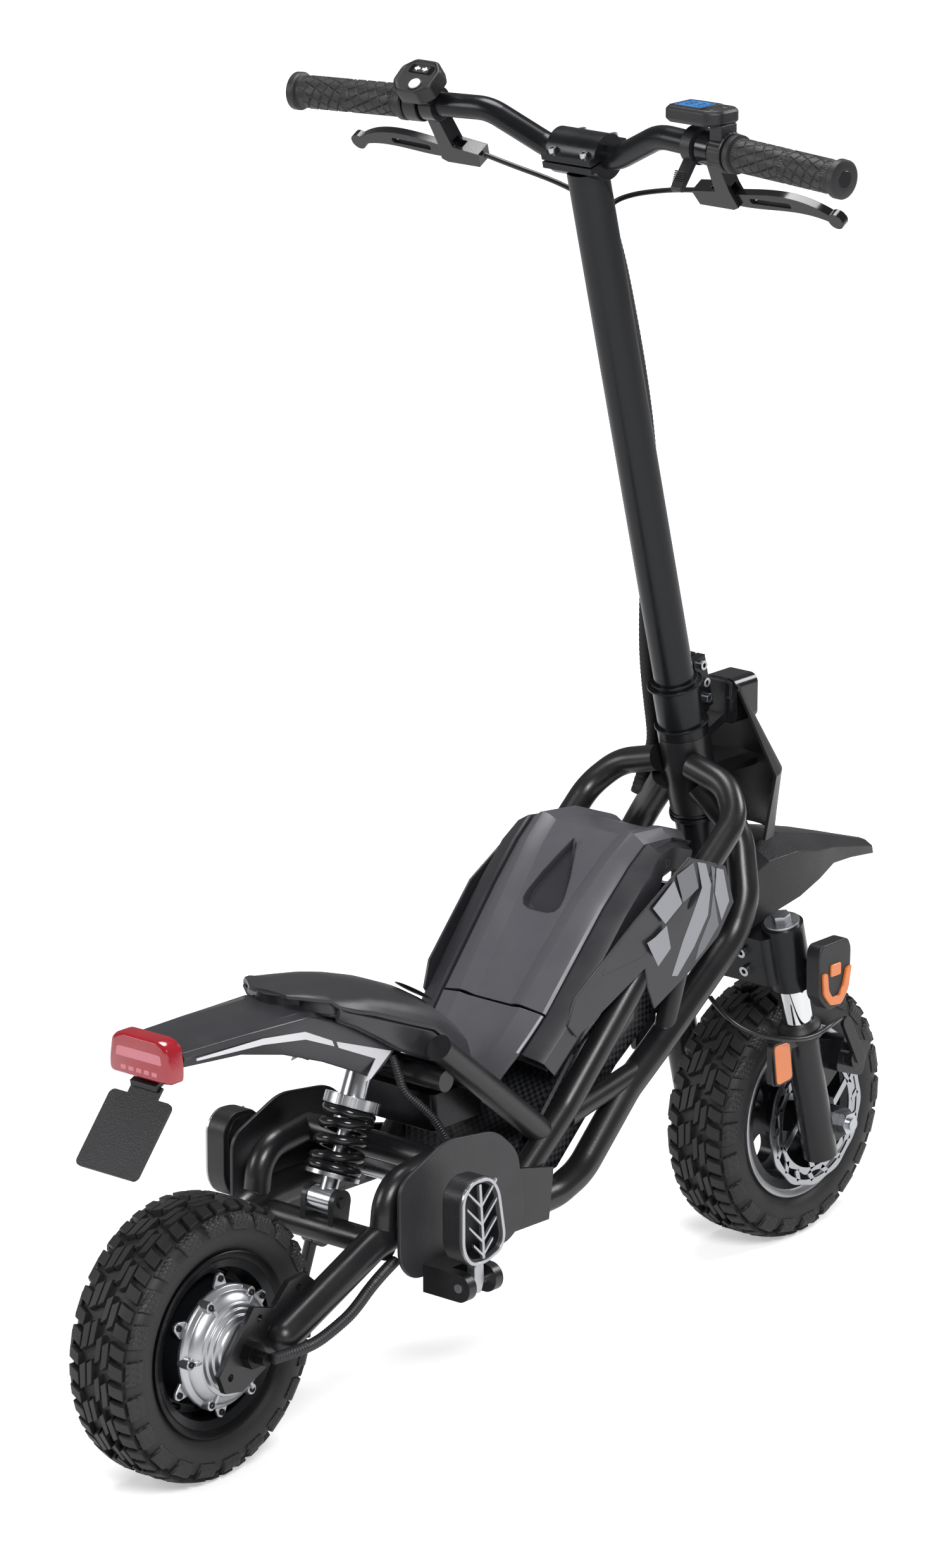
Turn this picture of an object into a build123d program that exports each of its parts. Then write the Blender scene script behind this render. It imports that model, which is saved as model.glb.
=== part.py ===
"""Electric kick scooter with foot pegs, full suspension and a hub motor.

Frame: +X forward, +Y to the rider's left, +Z up, millimetres.
Origin: on the ground, under the middle of the scooter.
"""
import os
from math import cos, hypot, radians, sin

from build123d import *

os.makedirs("parts", exist_ok=True)

# ---------------------------------------------------------------- driving sizes
wheelbase = 822
rear_axle_x = -420
front_axle_x = rear_axle_x + wheelbase
tyre_radius = 127.5
tyre_width = 78
tyre_wall = 6
rim_radius = 84.5
rim_width = 62
rim_wall = 4
axle_radius = 6
running_gap = 0.05
body_gap = 0.3

# Steering axis: a line through the top of the collar, leaning back.
steer_rake = 14.6
collar_top_x = 244
collar_top_z = 583.7
stem_radius = 19
stem_wall = 2.5
collar_height = 47
collar_wall = 3.2
steerer_radius = 15
head_tube_radius = 24
head_tube_length = 80
head_tube_drop = 57
bearing_height = 12
bar_height = 529.5

# Fork, measured from the steering axis.
leg_spacing = 75
leg_offset = 8
stanchion_radius = 14
lower_radius = 16.5
lower_flange_radius = 21
crown_radius = 20
crown_top = -249
crown_bottom = -314.5
lower_top = -361
lower_bottom = -502
stanchion_bottom = -452

# Handlebar.
bar_radius = 11.1
bar_half_width = 311
bar_rise = 30
bar_sweep = 15
bar_knee_y = 38
bar_shoulder_y = 98
bar_back_sweep = 16
bar_end_drop = 8
grip_length = 126
grip_radius = 15
grip_flange_radius = 18
clamp_radius = 21
clamp_width = 56

# Frame tubes.
main_tube_radius = 14
brace_tube_radius = 12.5
strut_radius = 10
main_tube_y = 78
loop_tube_y = 87
seat_tube_y = 76

# Swingarm and shock.
pivot_x = -130
pivot_z = 195
pivot_pin_radius = 8
swingarm_tube_radius = 15
swingarm_y = 75
shock_lower_x = -244
shock_lower_z = 207
shock_upper_x = -192
shock_upper_z = 326
spring_outer_radius = 24.5
spring_wire_radius = 4.25
spring_turns = 5
shock_rod_radius = 6
shock_body_radius = 12.5

# Guard plates and pegs.
plate_y = 97
plate_thickness = 4
peg_hinge_x = -206
peg_hinge_y = 142
peg_hinge_z = 152
peg_width = 62
peg_height = 84
peg_thickness = 22

# Covers.
cover_wall = 3
tank_half_width = 88
seat_half_width = 61
tail_half_width = 44

sides = {"right": -1, "left": 1}

# ---------------------------------------------------------------- shared planes
rake_sin = sin(radians(steer_rake))
rake_cos = cos(radians(steer_rake))


def steer_point(ahead, side, up):
    """A point given from the steering axis: ahead of it, to the left, up along it."""
    x = collar_top_x + ahead * rake_cos - up * rake_sin
    z = collar_top_z + ahead * rake_sin + up * rake_cos
    return (x, side, z)


def steer_plane(up, ahead=0, side=0):
    """The plane square to the steering axis at a height along it."""
    return Plane(
        origin=steer_point(ahead, side, up),
        x_dir=(rake_cos, 0, rake_sin),
        z_dir=(-rake_sin, 0, rake_cos),
    )


def cross_plane(x, y, z):
    """A plane square to the scooter's width; its sketch X is forward, Y is up."""
    return Plane(origin=(x, y, z), x_dir=(1, 0, 0), z_dir=(0, -1, 0))


def start_plane(line):
    """The plane square to the start of a path."""
    return Plane(origin=line @ 0, z_dir=line % 0)


def bend_radii(points, share=0.42, largest=60):
    """The largest arcs that the runs of a bent tube leave room for."""
    radii = []
    for before, here, after in zip(points, points[1:], points[2:]):
        into = Vector(*here) - Vector(*before)
        out = Vector(*after) - Vector(*here)
        shorter = min(into.length, out.length)
        half_turn = radians(into.get_angle(out)) / 2
        radii.append(min(largest, share * shorter / max(0.02, sin(half_turn) / cos(half_turn))))
    return radii


def mirrored_points(points, side):
    """Points of the left side, or the same on the right."""
    return [(x, y * side, z) for x, y, z in points]


# ================================================================= root: frame
head_tube_top = -head_tube_drop
head_tube_bottom = head_tube_top - head_tube_length
head_bore = head_tube_radius - 4
with BuildPart() as head_tube:
    with BuildSketch(steer_plane(head_tube_bottom)):
        Circle(head_tube_radius)
        Circle(head_bore, mode=Mode.SUBTRACT)
    extrude(amount=head_tube_length)
head_tube.part.label = "head_tube"
export_step(head_tube.part, "parts/head_tube.step")

# Bearings at both ends of the head tube.
with BuildPart() as headset_bearings:
    for low in (head_tube_bottom, head_tube_top - bearing_height):
        with BuildSketch(steer_plane(low)):
            Circle(head_bore)
            Circle(steerer_radius + running_gap, mode=Mode.SUBTRACT)
        extrude(amount=bearing_height)
headset_bearings.part.label = "headset_bearings"
export_step(headset_bearings.part, "parts/headset_bearings.step")

# Upper tubes: from the head tube out in a loop, then down under the side panels to the pivot.
loop_route = [
    (246, 20, 503),
    (244, 64, 492),
    (227, loop_tube_y, 468),
    (188, loop_tube_y, 436),
    (86, loop_tube_y - 1, 350),
    (-8, main_tube_y + 2, 249),
    (-70, main_tube_y, 197),
]
with BuildPart() as upper_tubes:
    for side in sides.values():
        route = mirrored_points(loop_route, side)
        with BuildLine() as path:
            FilletPolyline(*route, radius=bend_radii(route))
        with BuildSketch(start_plane(path.line)):
            Circle(brace_tube_radius)
        sweep()
    with BuildSketch(steer_plane(head_tube_bottom)):
        Circle(head_tube_radius)
    extrude(amount=head_tube_length, mode=Mode.SUBTRACT)
upper_tubes.part.label = "upper_tubes"
export_step(upper_tubes.part, "parts/upper_tubes.step")

# Main down tubes: from the head tube, round the fork and down to the pivot, with their struts.
down_route = [
    (258, 20, 482),
    (272, 56, 440),
    (254, main_tube_y, 385),
    (238, main_tube_y, 352),
    (126, main_tube_y, 273),
    (82, main_tube_y, 244),
    (16, main_tube_y, 181),
    (-18, main_tube_y, 170),
    (-70, main_tube_y, 168),
]
strut_lines = [
    [(118, main_tube_y, 262), (-4, main_tube_y, 238)],
    [(134, main_tube_y, 279), (152, main_tube_y + 3, 342)],
]
with BuildPart() as main_tubes:
    for side in sides.values():
        route = mirrored_points(down_route, side)
        with BuildLine() as path:
            FilletPolyline(*route, radius=bend_radii(route))
        with BuildSketch(start_plane(path.line)):
            Circle(main_tube_radius)
        sweep()
        for strut_line in strut_lines:
            with BuildLine() as path:
                Line(*mirrored_points(strut_line, side))
            with BuildSketch(start_plane(path.line)):
                Circle(strut_radius)
            sweep()
    with BuildSketch(steer_plane(head_tube_bottom)):
        Circle(head_tube_radius)
    extrude(amount=head_tube_length, mode=Mode.SUBTRACT)
    add(upper_tubes.part, mode=Mode.SUBTRACT)
main_tubes.part.label = "main_tubes"
export_step(main_tubes.part, "parts/main_tubes.step")

# Rear subframe: seat tubes, cross tube, the rails inside the tail and the shock's upper clevis.
seat_route = [(-178, seat_tube_y, 348), (-37, seat_tube_y, 232)]
seat_cross = (-168, 314)
controller_bar = (-118, 298.6)
controller_bar_radius = 8
rail_y = 24
rail_radius = 7
rail_route = [(-174, rail_y, 324), (-228, rail_y, 343), (-364, rail_y, 397), (-433, rail_y, 399)]
shock_eye_half = 13
shock_pin_radius = 5
clevis_outer_y = 21
with BuildPart() as rear_subframe:
    for side in sides.values():
        with BuildLine() as path:
            Line(*mirrored_points(seat_route, side))
        with BuildSketch(start_plane(path.line)):
            Circle(brace_tube_radius)
        sweep()
        route = mirrored_points(rail_route, side)
        with BuildLine() as path:
            FilletPolyline(*route, radius=bend_radii(route))
        with BuildSketch(start_plane(path.line)):
            Circle(rail_radius)
        sweep()
        with BuildSketch(cross_plane(0, side * clevis_outer_y, 0)):
            with BuildLine():
                Polyline(
                    (seat_cross[0], seat_cross[1] + 4),
                    (shock_upper_x - 12, shock_upper_z - 8),
                    (shock_upper_x - 12, shock_upper_z + 12),
                    (seat_cross[0] + 4, 338),
                    close=True,
                )
            make_face()
        extrude(amount=side * (clevis_outer_y - shock_eye_half - body_gap))
    with BuildSketch(cross_plane(seat_cross[0], seat_tube_y, seat_cross[1])):
        Circle(strut_radius)
    extrude(amount=2 * seat_tube_y)
    with BuildSketch(cross_plane(controller_bar[0], seat_tube_y, controller_bar[1])):
        Circle(controller_bar_radius)
    extrude(amount=2 * seat_tube_y)
    with BuildSketch(cross_plane(shock_upper_x, clevis_outer_y, shock_upper_z)):
        Circle(shock_pin_radius)
    extrude(amount=2 * clevis_outer_y)
    add(upper_tubes.part, mode=Mode.SUBTRACT)
rear_subframe.part.label = "rear_subframe"
export_step(rear_subframe.part, "parts/rear_subframe.step")

# Guard plates that close the sides and carry the pegs.
plate_outline = [
    (-259.5, 246),
    (-195, 272),
    (-128, 263),
    (-98, 236),
    (-89, 172),
    (-110, 153),
    (-242, 153),
    (-259.5, 172),
]
with BuildPart() as guard_plates:
    for side in sides.values():
        with BuildSketch(cross_plane(0, side * plate_y, 0)) as outline:
            with BuildLine():
                Polyline(*plate_outline, close=True)
            make_face()
            fillet(outline.vertices(), 12)
        extrude(amount=-side * plate_thickness)
guard_plates.part.label = "guard_plates"
export_step(guard_plates.part, "parts/guard_plates.step")

# Battery box with its woven side panels, and the controller behind it.
battery_half_width = 63.9
battery_outline = [
    (-62, 176),
    (0, 186),
    (84, 262),
    (190, 332),
    (218, 352),
    (172, 412),
    (94, 344),
    (18, 296),
    (-62, 214),
]
panel_thickness = 2
panel_outline = [(-48, 186), (0, 194), (82, 268), (182, 334), (164, 388), (94, 334), (22, 288), (-48, 214)]
with BuildPart() as battery_box:
    with BuildSketch(cross_plane(0, battery_half_width, 0)):
        with BuildLine():
            Polyline(*battery_outline, close=True)
        make_face()
    extrude(amount=2 * battery_half_width)
    with BuildSketch(cross_plane(0, battery_half_width + panel_thickness, 0)):
        with BuildLine():
            Polyline(*panel_outline, close=True)
        make_face()
    extrude(amount=2 * (battery_half_width + panel_thickness))
    add(rear_subframe.part, mode=Mode.SUBTRACT)
battery_box.part.label = "battery_box"
export_step(battery_box.part, "parts/battery_box.step")

controller_size = (70, 96, 34)
controller_low = controller_bar[1] - controller_bar_radius - body_gap - controller_size[2]
with BuildPart() as motor_controller:
    with BuildSketch(Plane.XY.offset(controller_low)):
        with Locations((controller_bar[0], 0)):
            RectangleRounded(controller_size[0], controller_size[1], 6)
    extrude(amount=controller_size[2])
motor_controller.part.label = "motor_controller"
export_step(motor_controller.part, "parts/motor_controller.step")

# Tank cover: one folded shell over the top of the battery, with the lower cover under its rear end.
tank_outline = [
    (-50, 308),
    (-19, 340),
    (56, 422),
    (92, 456),
    (118, 474),
    (162, 470),
    (200, 455),
    (190, 445),
    (80, 377),
    (-4, 308),
]
tank_nose_x = 150
tank_nose_half_width = 70
lower_cover_half_width = 52
lower_cover_outline = [(-58, 303.6), (-52, 307.6), (2, 300.6), (-48, 236), (-74, 236)]
with BuildPart() as tank_cover:
    with BuildSketch(cross_plane(0, tank_half_width, 0)):
        with BuildLine():
            Polyline(*tank_outline, close=True)
        make_face()
    extrude(amount=2 * tank_half_width)
    with BuildSketch(cross_plane(0, tank_half_width - cover_wall, 0)):
        with BuildLine():
            Polyline(
                (-44, 304),
                (-19, 340 - 1.5 * cover_wall),
                (56, 422 - 1.4 * cover_wall),
                (92, 456 - 1.4 * cover_wall),
                (118, 474 - cover_wall),
                (162, 470 - cover_wall),
                (195, 455 - cover_wall),
                (190, 435),
                (80, 367),
                (-4, 298),
                close=True,
            )
        make_face()
    extrude(amount=2 * (tank_half_width - cover_wall), mode=Mode.SUBTRACT)
    for side in sides.values():
        with BuildSketch(Plane.XY.offset(400)):
            with Locations((tank_nose_x + 30, side * (tank_nose_half_width + 20))):
                Rectangle(82, 40)
        extrude(amount=100, mode=Mode.SUBTRACT)
    with BuildSketch(cross_plane(0, lower_cover_half_width, 0)):
        with BuildLine():
            Polyline(*lower_cover_outline, close=True)
        make_face()
    extrude(amount=2 * lower_cover_half_width)
tank_cover.part.label = "tank_cover"
export_step(tank_cover.part, "parts/tank_cover.step")

# Side panels with the decals, outside the upper tubes.
side_panel_y = 99.8
side_panel_thickness = 2.5
side_panel_outline = [
    (145, 453),
    (198, 433),
    (211, 395),
    (188, 367),
    (147, 343),
    (96, 320),
    (86, 343),
    (82, 362),
    (-14, 321),
    (-28, 336),
    (-17, 360),
    (68, 411),
]
with BuildPart() as side_panels:
    for side in sides.values():
        with BuildSketch(cross_plane(0, side * side_panel_y, 0)):
            with BuildLine():
                Polyline(*side_panel_outline, close=True)
            make_face()
        extrude(amount=-side * side_panel_thickness)
        with BuildSketch(cross_plane(0, side * side_panel_y, 0)):
            with Locations((42, 374), (132, 436)):
                Circle(5)
        extrude(amount=side * (side_panel_y - tank_half_width))
side_panels.part.label = "side_panels"
export_step(side_panels.part, "parts/side_panels.step")

# Tail fairing: a long shell, open underneath.
tail_outline = [(-466, 411), (-308, 406), (-191, 349), (-191, 338), (-223, 322), (-290, 354), (-364, 383), (-466, 390)]
with BuildPart() as tail_fairing:
    with BuildSketch(cross_plane(0, tail_half_width, 0)):
        with BuildLine():
            Polyline(*tail_outline, close=True)
        make_face()
    extrude(amount=2 * tail_half_width)
    with BuildSketch(cross_plane(0, tail_half_width - cover_wall, 0)):
        with BuildLine():
            Polyline(
                (-462, 411 - cover_wall),
                (-308, 406 - cover_wall),
                (-186, 345),
                (-186, 300),
                (-462, 300),
                close=True,
            )
        make_face()
    extrude(amount=2 * (tail_half_width - cover_wall), mode=Mode.SUBTRACT)
tail_fairing.part.label = "tail_fairing"
export_step(tail_fairing.part, "parts/tail_fairing.step")

# Seat cover with its overhanging lip, and the round spacer under the lip.
seat_outline = [
    (-350, 436),
    (-298, 440),
    (-230, 424),
    (-163, 388),
    (-108, 345),
    (-82, 338),
    (-116, 311),
    (-128, 312),
    (-184, 341),
    (-186, 350),
    (-294, 402),
    (-295, 431),
    (-349, 432),
]
seat_spacer_x = -324
seat_spacer_radius = 24
seat_spacer_low = 407.5
seat_spacer_height = 23.1
with BuildPart() as seat_cover:
    with BuildSketch(cross_plane(0, seat_half_width, 0)):
        with BuildLine():
            Polyline(*seat_outline, close=True)
        make_face()
    extrude(amount=2 * seat_half_width)
    with BuildSketch(cross_plane(0, seat_half_width - cover_wall, 0)):
        with BuildLine():
            Polyline(
                (-292, 398),
                (-292, 436),
                (-230, 424 - cover_wall),
                (-163, 388 - cover_wall),
                (-108, 345 - cover_wall),
                (-90, 336),
                (-116, 305),
                (-128, 305),
                (-184, 330),
                close=True,
            )
        make_face()
    extrude(amount=2 * (seat_half_width - cover_wall), mode=Mode.SUBTRACT)
    with BuildSketch(Plane.XY.offset(seat_spacer_low)):
        with Locations((seat_spacer_x, 0)):
            Circle(seat_spacer_radius)
    extrude(amount=seat_spacer_height)
seat_cover.part.label = "seat_cover"
export_step(seat_cover.part, "parts/seat_cover.step")

# Tail lamp and the plate hung under it.
lamp_width = 74
lamp_height = 40
lamp_depth = 17
with BuildPart() as tail_light:
    with BuildSketch(Plane(origin=(-466.3, 0, 400), x_dir=(0, -1, 0), z_dir=(-1, 0, 0))):
        RectangleRounded(lamp_width, lamp_height, 12)
    extrude(amount=lamp_depth)
    fillet(tail_light.faces().sort_by(Axis.X)[0].edges(), 3)
tail_light.part.label = "tail_light"
export_step(tail_light.part, "parts/tail_light.step")

plate_top = (-475, 371)
plate_foot = (-528, 308)
plate_length = hypot(plate_top[0] - plate_foot[0], plate_top[1] - plate_foot[1])
plate_dir = ((plate_foot[0] - plate_top[0]) / plate_length, (plate_foot[1] - plate_top[1]) / plate_length)
with BuildPart() as number_plate:
    with BuildSketch(Plane(
        origin=(plate_top[0], 0, plate_top[1]),
        x_dir=(0, 1, 0),
        z_dir=(-plate_dir[1], 0, plate_dir[0]),
    )) as blade:
        with Locations((0, -plate_length / 2 - 4)):
            RectangleRounded(72, plate_length - 8, 6)
        with Locations((0, -4)):
            Rectangle(34, 16)
    extrude(amount=3)
    with BuildSketch(cross_plane(0, 15, 0)):
        with BuildLine():
            Polyline((-478, 371), (-440, 387), (-440, 391), (-479, 376), close=True)
        make_face()
    extrude(amount=30)
    add(tail_light.part, mode=Mode.SUBTRACT)
number_plate.part.label = "number_plate"
export_step(number_plate.part, "parts/number_plate.step")

# Front shield, its bracket and the headlight, all fixed to the head tube.
shield_sections = [(418, 48, 322, 367), (490, 76, 302, 358), (566, 36, 297, 320)]
shield_wall = 3
with BuildPart() as shield:
    for height, half_width, rim_x, nose_x in shield_sections:
        with BuildSketch(Plane.XY.offset(height)):
            with BuildLine():
                ThreePointArc((rim_x, -half_width), (nose_x, 0), (rim_x, half_width))
                Line((rim_x, half_width), (rim_x, half_width - 1.2 * shield_wall))
                ThreePointArc(
                    (rim_x, half_width - 1.2 * shield_wall),
                    (nose_x - shield_wall, 0),
                    (rim_x, -half_width + 1.2 * shield_wall),
                )
                Line((rim_x, -half_width + 1.2 * shield_wall), (rim_x, -half_width))
            make_face()
    loft(ruled=True)
shield.part.label = "shield"
export_step(shield.part, "parts/shield.step")


headlight_width = 40
headlight_height = 44
headlight_length = 36
headlight_rear = 312
headlight_middle = 549
with BuildPart() as headlight:
    with BuildSketch(Plane.YZ.offset(headlight_rear)):
        with Locations((0, headlight_middle)):
            RectangleRounded(headlight_width, headlight_height, 9)
    extrude(amount=headlight_length)
    chamfer(headlight.faces().sort_by(Axis.X)[-1].edges(), 4)
    add(shield.part, mode=Mode.SUBTRACT)
headlight.part.label = "headlight"
export_step(headlight.part, "parts/headlight.step")

# Welded brackets: the swingarm's pivot plates, the peg ears, the kickstand's lug and the
# arms that carry the front shield and the headlight.
ear_radius = 13
ear_thickness = 10
ear_gap = 26
peg_pin_radius = 4
stand_pivot = (-143, 124)
stand_y = 105
stand_pin_radius = 4
bracket_half_width = 9
with BuildPart() as frame_brackets:
    for side in sides.values():
        with BuildSketch(cross_plane(0, side * (plate_y - body_gap), 0)):
            with BuildLine():
                Polyline(
                    (pivot_x - 24, pivot_z - 20),
                    (pivot_x - 8, pivot_z - 36),
                    (-50, 157),
                    (-44, 205),
                    (pivot_x + 10, pivot_z + 28),
                    (pivot_x - 16, pivot_z + 22),
                    close=True,
                )
            make_face()
            with Locations((pivot_x, pivot_z)):
                Circle(pivot_pin_radius, mode=Mode.SUBTRACT)
        extrude(amount=side * (plate_y - body_gap - main_tube_y - main_tube_radius))
        with BuildSketch(Plane.YZ.offset(peg_hinge_x)):
            with Locations((side * peg_hinge_y, peg_hinge_z)):
                Circle(ear_radius)
            with Locations((side * (plate_y + plate_thickness + peg_hinge_y) / 2, peg_hinge_z)):
                Rectangle(peg_hinge_y - plate_y - plate_thickness, 2 * ear_radius)
            with Locations((side * peg_hinge_y, peg_hinge_z)):
                Circle(peg_pin_radius, mode=Mode.SUBTRACT)
        extrude(amount=ear_gap / 2 + ear_thickness, both=True)
        with BuildSketch(Plane.YZ.offset(peg_hinge_x)):
            with Locations((side * (peg_hinge_y + 3), peg_hinge_z)):
                Rectangle(38, 3 * ear_radius)
        extrude(amount=ear_gap / 2, both=True, mode=Mode.SUBTRACT)
    with BuildSketch(cross_plane(0, plate_y - body_gap, 0)):
        with Locations(stand_pivot):
            Circle(12)
        with BuildLine():
            Polyline(
                (stand_pivot[0] - 12, stand_pivot[1]),
                (stand_pivot[0] + 12, stand_pivot[1]),
                (-113, 162),
                (-142, 162),
                close=True,
            )
        make_face()
    extrude(amount=5)
    with BuildSketch(cross_plane(stand_pivot[0], stand_y + 7, stand_pivot[1])):
        Circle(stand_pin_radius)
    extrude(amount=stand_y + 7 - plate_y + body_gap)
    with BuildSketch(cross_plane(0, bracket_half_width, 0)):
        with BuildLine():
            Polyline((266, 512), (311.6, 530), (311.6, 568), (308, 568), (308, 538), (262, 520), close=True)
        make_face()
        with BuildLine():
            Polyline((274, 478), (358, 478), (357.5, 484), (272, 484), close=True)
        make_face()
    extrude(amount=2 * bracket_half_width)
    with BuildSketch(steer_plane(head_tube_bottom)):
        Circle(head_tube_radius)
    extrude(amount=head_tube_length + 20, mode=Mode.SUBTRACT)
    add(shield.part, mode=Mode.SUBTRACT)
frame_brackets.part.label = "frame_brackets"
export_step(frame_brackets.part, "parts/frame_brackets.step")

# The pins in the welded brackets: the swingarm's long pin and the two peg pins.
with BuildPart() as frame_pins:
    with BuildSketch(cross_plane(pivot_x, plate_y - body_gap, pivot_z)):
        Circle(pivot_pin_radius)
    extrude(amount=2 * (plate_y - body_gap))
    with BuildSketch(Plane.YZ.offset(peg_hinge_x - ear_gap / 2 - ear_thickness - 1)):
        with Locations((-peg_hinge_y, peg_hinge_z), (peg_hinge_y, peg_hinge_z)):
            Circle(peg_pin_radius)
    extrude(amount=ear_gap + 2 * ear_thickness + 2)
frame_pins.part.label = "frame_pins"
export_step(frame_pins.part, "parts/frame_pins.step")

# Folding pegs: a black frame with a silver grille, standing up beside the plate when folded.
peg_inner_y = 129
peg_low = peg_hinge_z + ear_radius + 4
tongue_radius = 10
for name, side in sides.items():
    with BuildPart() as foot_peg:
        with BuildSketch(cross_plane(0, side * peg_inner_y, 0)):
            with Locations((peg_hinge_x, peg_low + peg_height / 2)):
                RectangleRounded(peg_width, peg_height, 12)
                Rectangle(peg_width - 22, peg_height - 26, mode=Mode.SUBTRACT)
        extrude(amount=-side * peg_thickness)
        with BuildSketch(cross_plane(0, side * peg_inner_y, 0)):
            with Locations((peg_hinge_x, peg_low + peg_height / 2)):
                Rectangle(peg_width - 22, peg_height - 26)
        extrude(amount=-side * 4)
        with BuildSketch(Plane.YZ.offset(peg_hinge_x)):
            with Locations((side * peg_hinge_y, peg_hinge_z)):
                Circle(tongue_radius)
            with Locations((side * peg_hinge_y, peg_hinge_z + 11)):
                Rectangle(12, 22)
            with Locations((side * peg_hinge_y, peg_hinge_z)):
                Circle(peg_pin_radius + running_gap, mode=Mode.SUBTRACT)
        extrude(amount=ear_gap / 2 - body_gap, both=True)
        with BuildSketch(cross_plane(0, side * (peg_inner_y + peg_thickness), 0)):
            with Locations((peg_hinge_x, peg_low + peg_height / 2)):
                RectangleRounded(peg_width - 6, peg_height - 6, 10)
                Rectangle(peg_width - 16, peg_height - 16, mode=Mode.SUBTRACT)
                Rectangle(5, peg_height - 14)
            for height in (-24, -8, 8, 24):
                with Locations((peg_hinge_x, peg_low + peg_height / 2 + height)):
                    Rectangle(peg_width - 14, 4)
        extrude(amount=-side * 3)
    foot_peg.part.label = f"{name}_foot_peg"
    export_step(foot_peg.part, f"parts/{name}_foot_peg.step")

# Kickstand on the left, on the lug under the pivot plate.
stand_foot = (-164, 6)
stand_foot_y = 131
stand_radius = 6
with BuildPart() as kickstand:
    with BuildSketch(cross_plane(stand_pivot[0], stand_y - 6, stand_pivot[1])):
        Circle(11)
    extrude(amount=-12)
    with BuildLine() as path:
        FilletPolyline(
            (stand_pivot[0], stand_y, stand_pivot[1]),
            (stand_pivot[0] - 8, stand_y + 7, stand_pivot[1] - 45),
            (stand_foot[0], stand_foot_y, stand_foot[1]),
            radius=40,
        )
    with BuildSketch(start_plane(path.line)):
        Circle(stand_radius)
    sweep()
    with BuildSketch(Plane.XY.offset(0.4)):
        with Locations((stand_foot[0] - 1, stand_foot_y)):
            SlotOverall(34, 20)
    extrude(amount=7)
    with BuildSketch(cross_plane(stand_pivot[0], stand_y - 8, stand_pivot[1])):
        Circle(stand_pin_radius + running_gap)
    extrude(amount=-16, mode=Mode.SUBTRACT)
kickstand.part.label = "kickstand"
export_step(kickstand.part, "parts/kickstand.step")

# ================================================================= steering
# Fork crown: steerer tube, bridge, lower seal ring and the two clamps round the stanchions.
bridge_top = crown_top - 6
bridge_bottom = crown_top - 56
steerer_top = 20
seal_ring_height = 4
with BuildPart() as fork_crown:
    with BuildSketch(steer_plane(bridge_bottom)):
        with Locations((leg_offset - 4, 0)):
            RectangleRounded(46, 2 * leg_spacing, 8)
    extrude(amount=bridge_top - bridge_bottom)
    with BuildSketch(steer_plane(crown_bottom)):
        with Locations((leg_offset, leg_spacing), (leg_offset, -leg_spacing)):
            Circle(crown_radius)
    extrude(amount=crown_top - crown_bottom)
    with BuildSketch(steer_plane(bridge_top)):
        Circle(22)
    extrude(amount=head_tube_bottom - seal_ring_height - body_gap - bridge_top)
    with BuildSketch(steer_plane(head_tube_bottom - seal_ring_height - body_gap)):
        Circle(head_tube_radius + 2)
    extrude(amount=seal_ring_height)
    with BuildSketch(steer_plane(bridge_bottom)):
        Circle(steerer_radius)
    extrude(amount=steerer_top - bridge_bottom)
    with BuildSketch(steer_plane(crown_bottom)):
        with Locations((leg_offset, leg_spacing), (leg_offset, -leg_spacing)):
            Circle(stanchion_radius)
    extrude(amount=crown_top - crown_bottom, mode=Mode.SUBTRACT)
fork_crown.part.label = "fork_crown"
export_step(fork_crown.part, "parts/fork_crown.step")

with BuildPart() as stanchions:
    with BuildSketch(steer_plane(stanchion_bottom)):
        with Locations((leg_offset, leg_spacing), (leg_offset, -leg_spacing)):
            Circle(stanchion_radius)
            Circle(stanchion_radius - 2.5, mode=Mode.SUBTRACT)
    extrude(amount=crown_top - stanchion_bottom)
stanchions.part.label = "stanchions"
export_step(stanchions.part, "parts/stanchions.step")

# Collar: a split clamp with a front lug for three cross bolts, standing on its seal ring.
collar_radius = stem_radius + collar_wall
lug_reach = 36
lug_half_width = 10
lug_top = 9
with BuildPart() as stem_collar:
    with BuildSketch(steer_plane(-collar_height)):
        Circle(collar_radius)
    extrude(amount=collar_height)
    with BuildSketch(steer_plane(-collar_height + 4)):
        with Locations(((lug_reach + stem_radius) / 2, 0)):
            Rectangle(lug_reach - stem_radius, 2 * lug_half_width)
    extrude(amount=collar_height - 4 + lug_top)
    with BuildSketch(steer_plane(-collar_height)):
        Circle(stem_radius)
        with Locations((lug_reach / 2, 0)):
            Rectangle(lug_reach + 2, 2)
    extrude(amount=collar_height + lug_top, mode=Mode.SUBTRACT)
    with BuildSketch(steer_plane(head_tube_top + body_gap)):
        Circle(head_tube_radius)
        Circle(steerer_radius, mode=Mode.SUBTRACT)
    extrude(amount=-collar_height - (head_tube_top + body_gap))
stem_collar.part.label = "stem_collar"
export_step(stem_collar.part, "parts/stem_collar.step")

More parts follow.
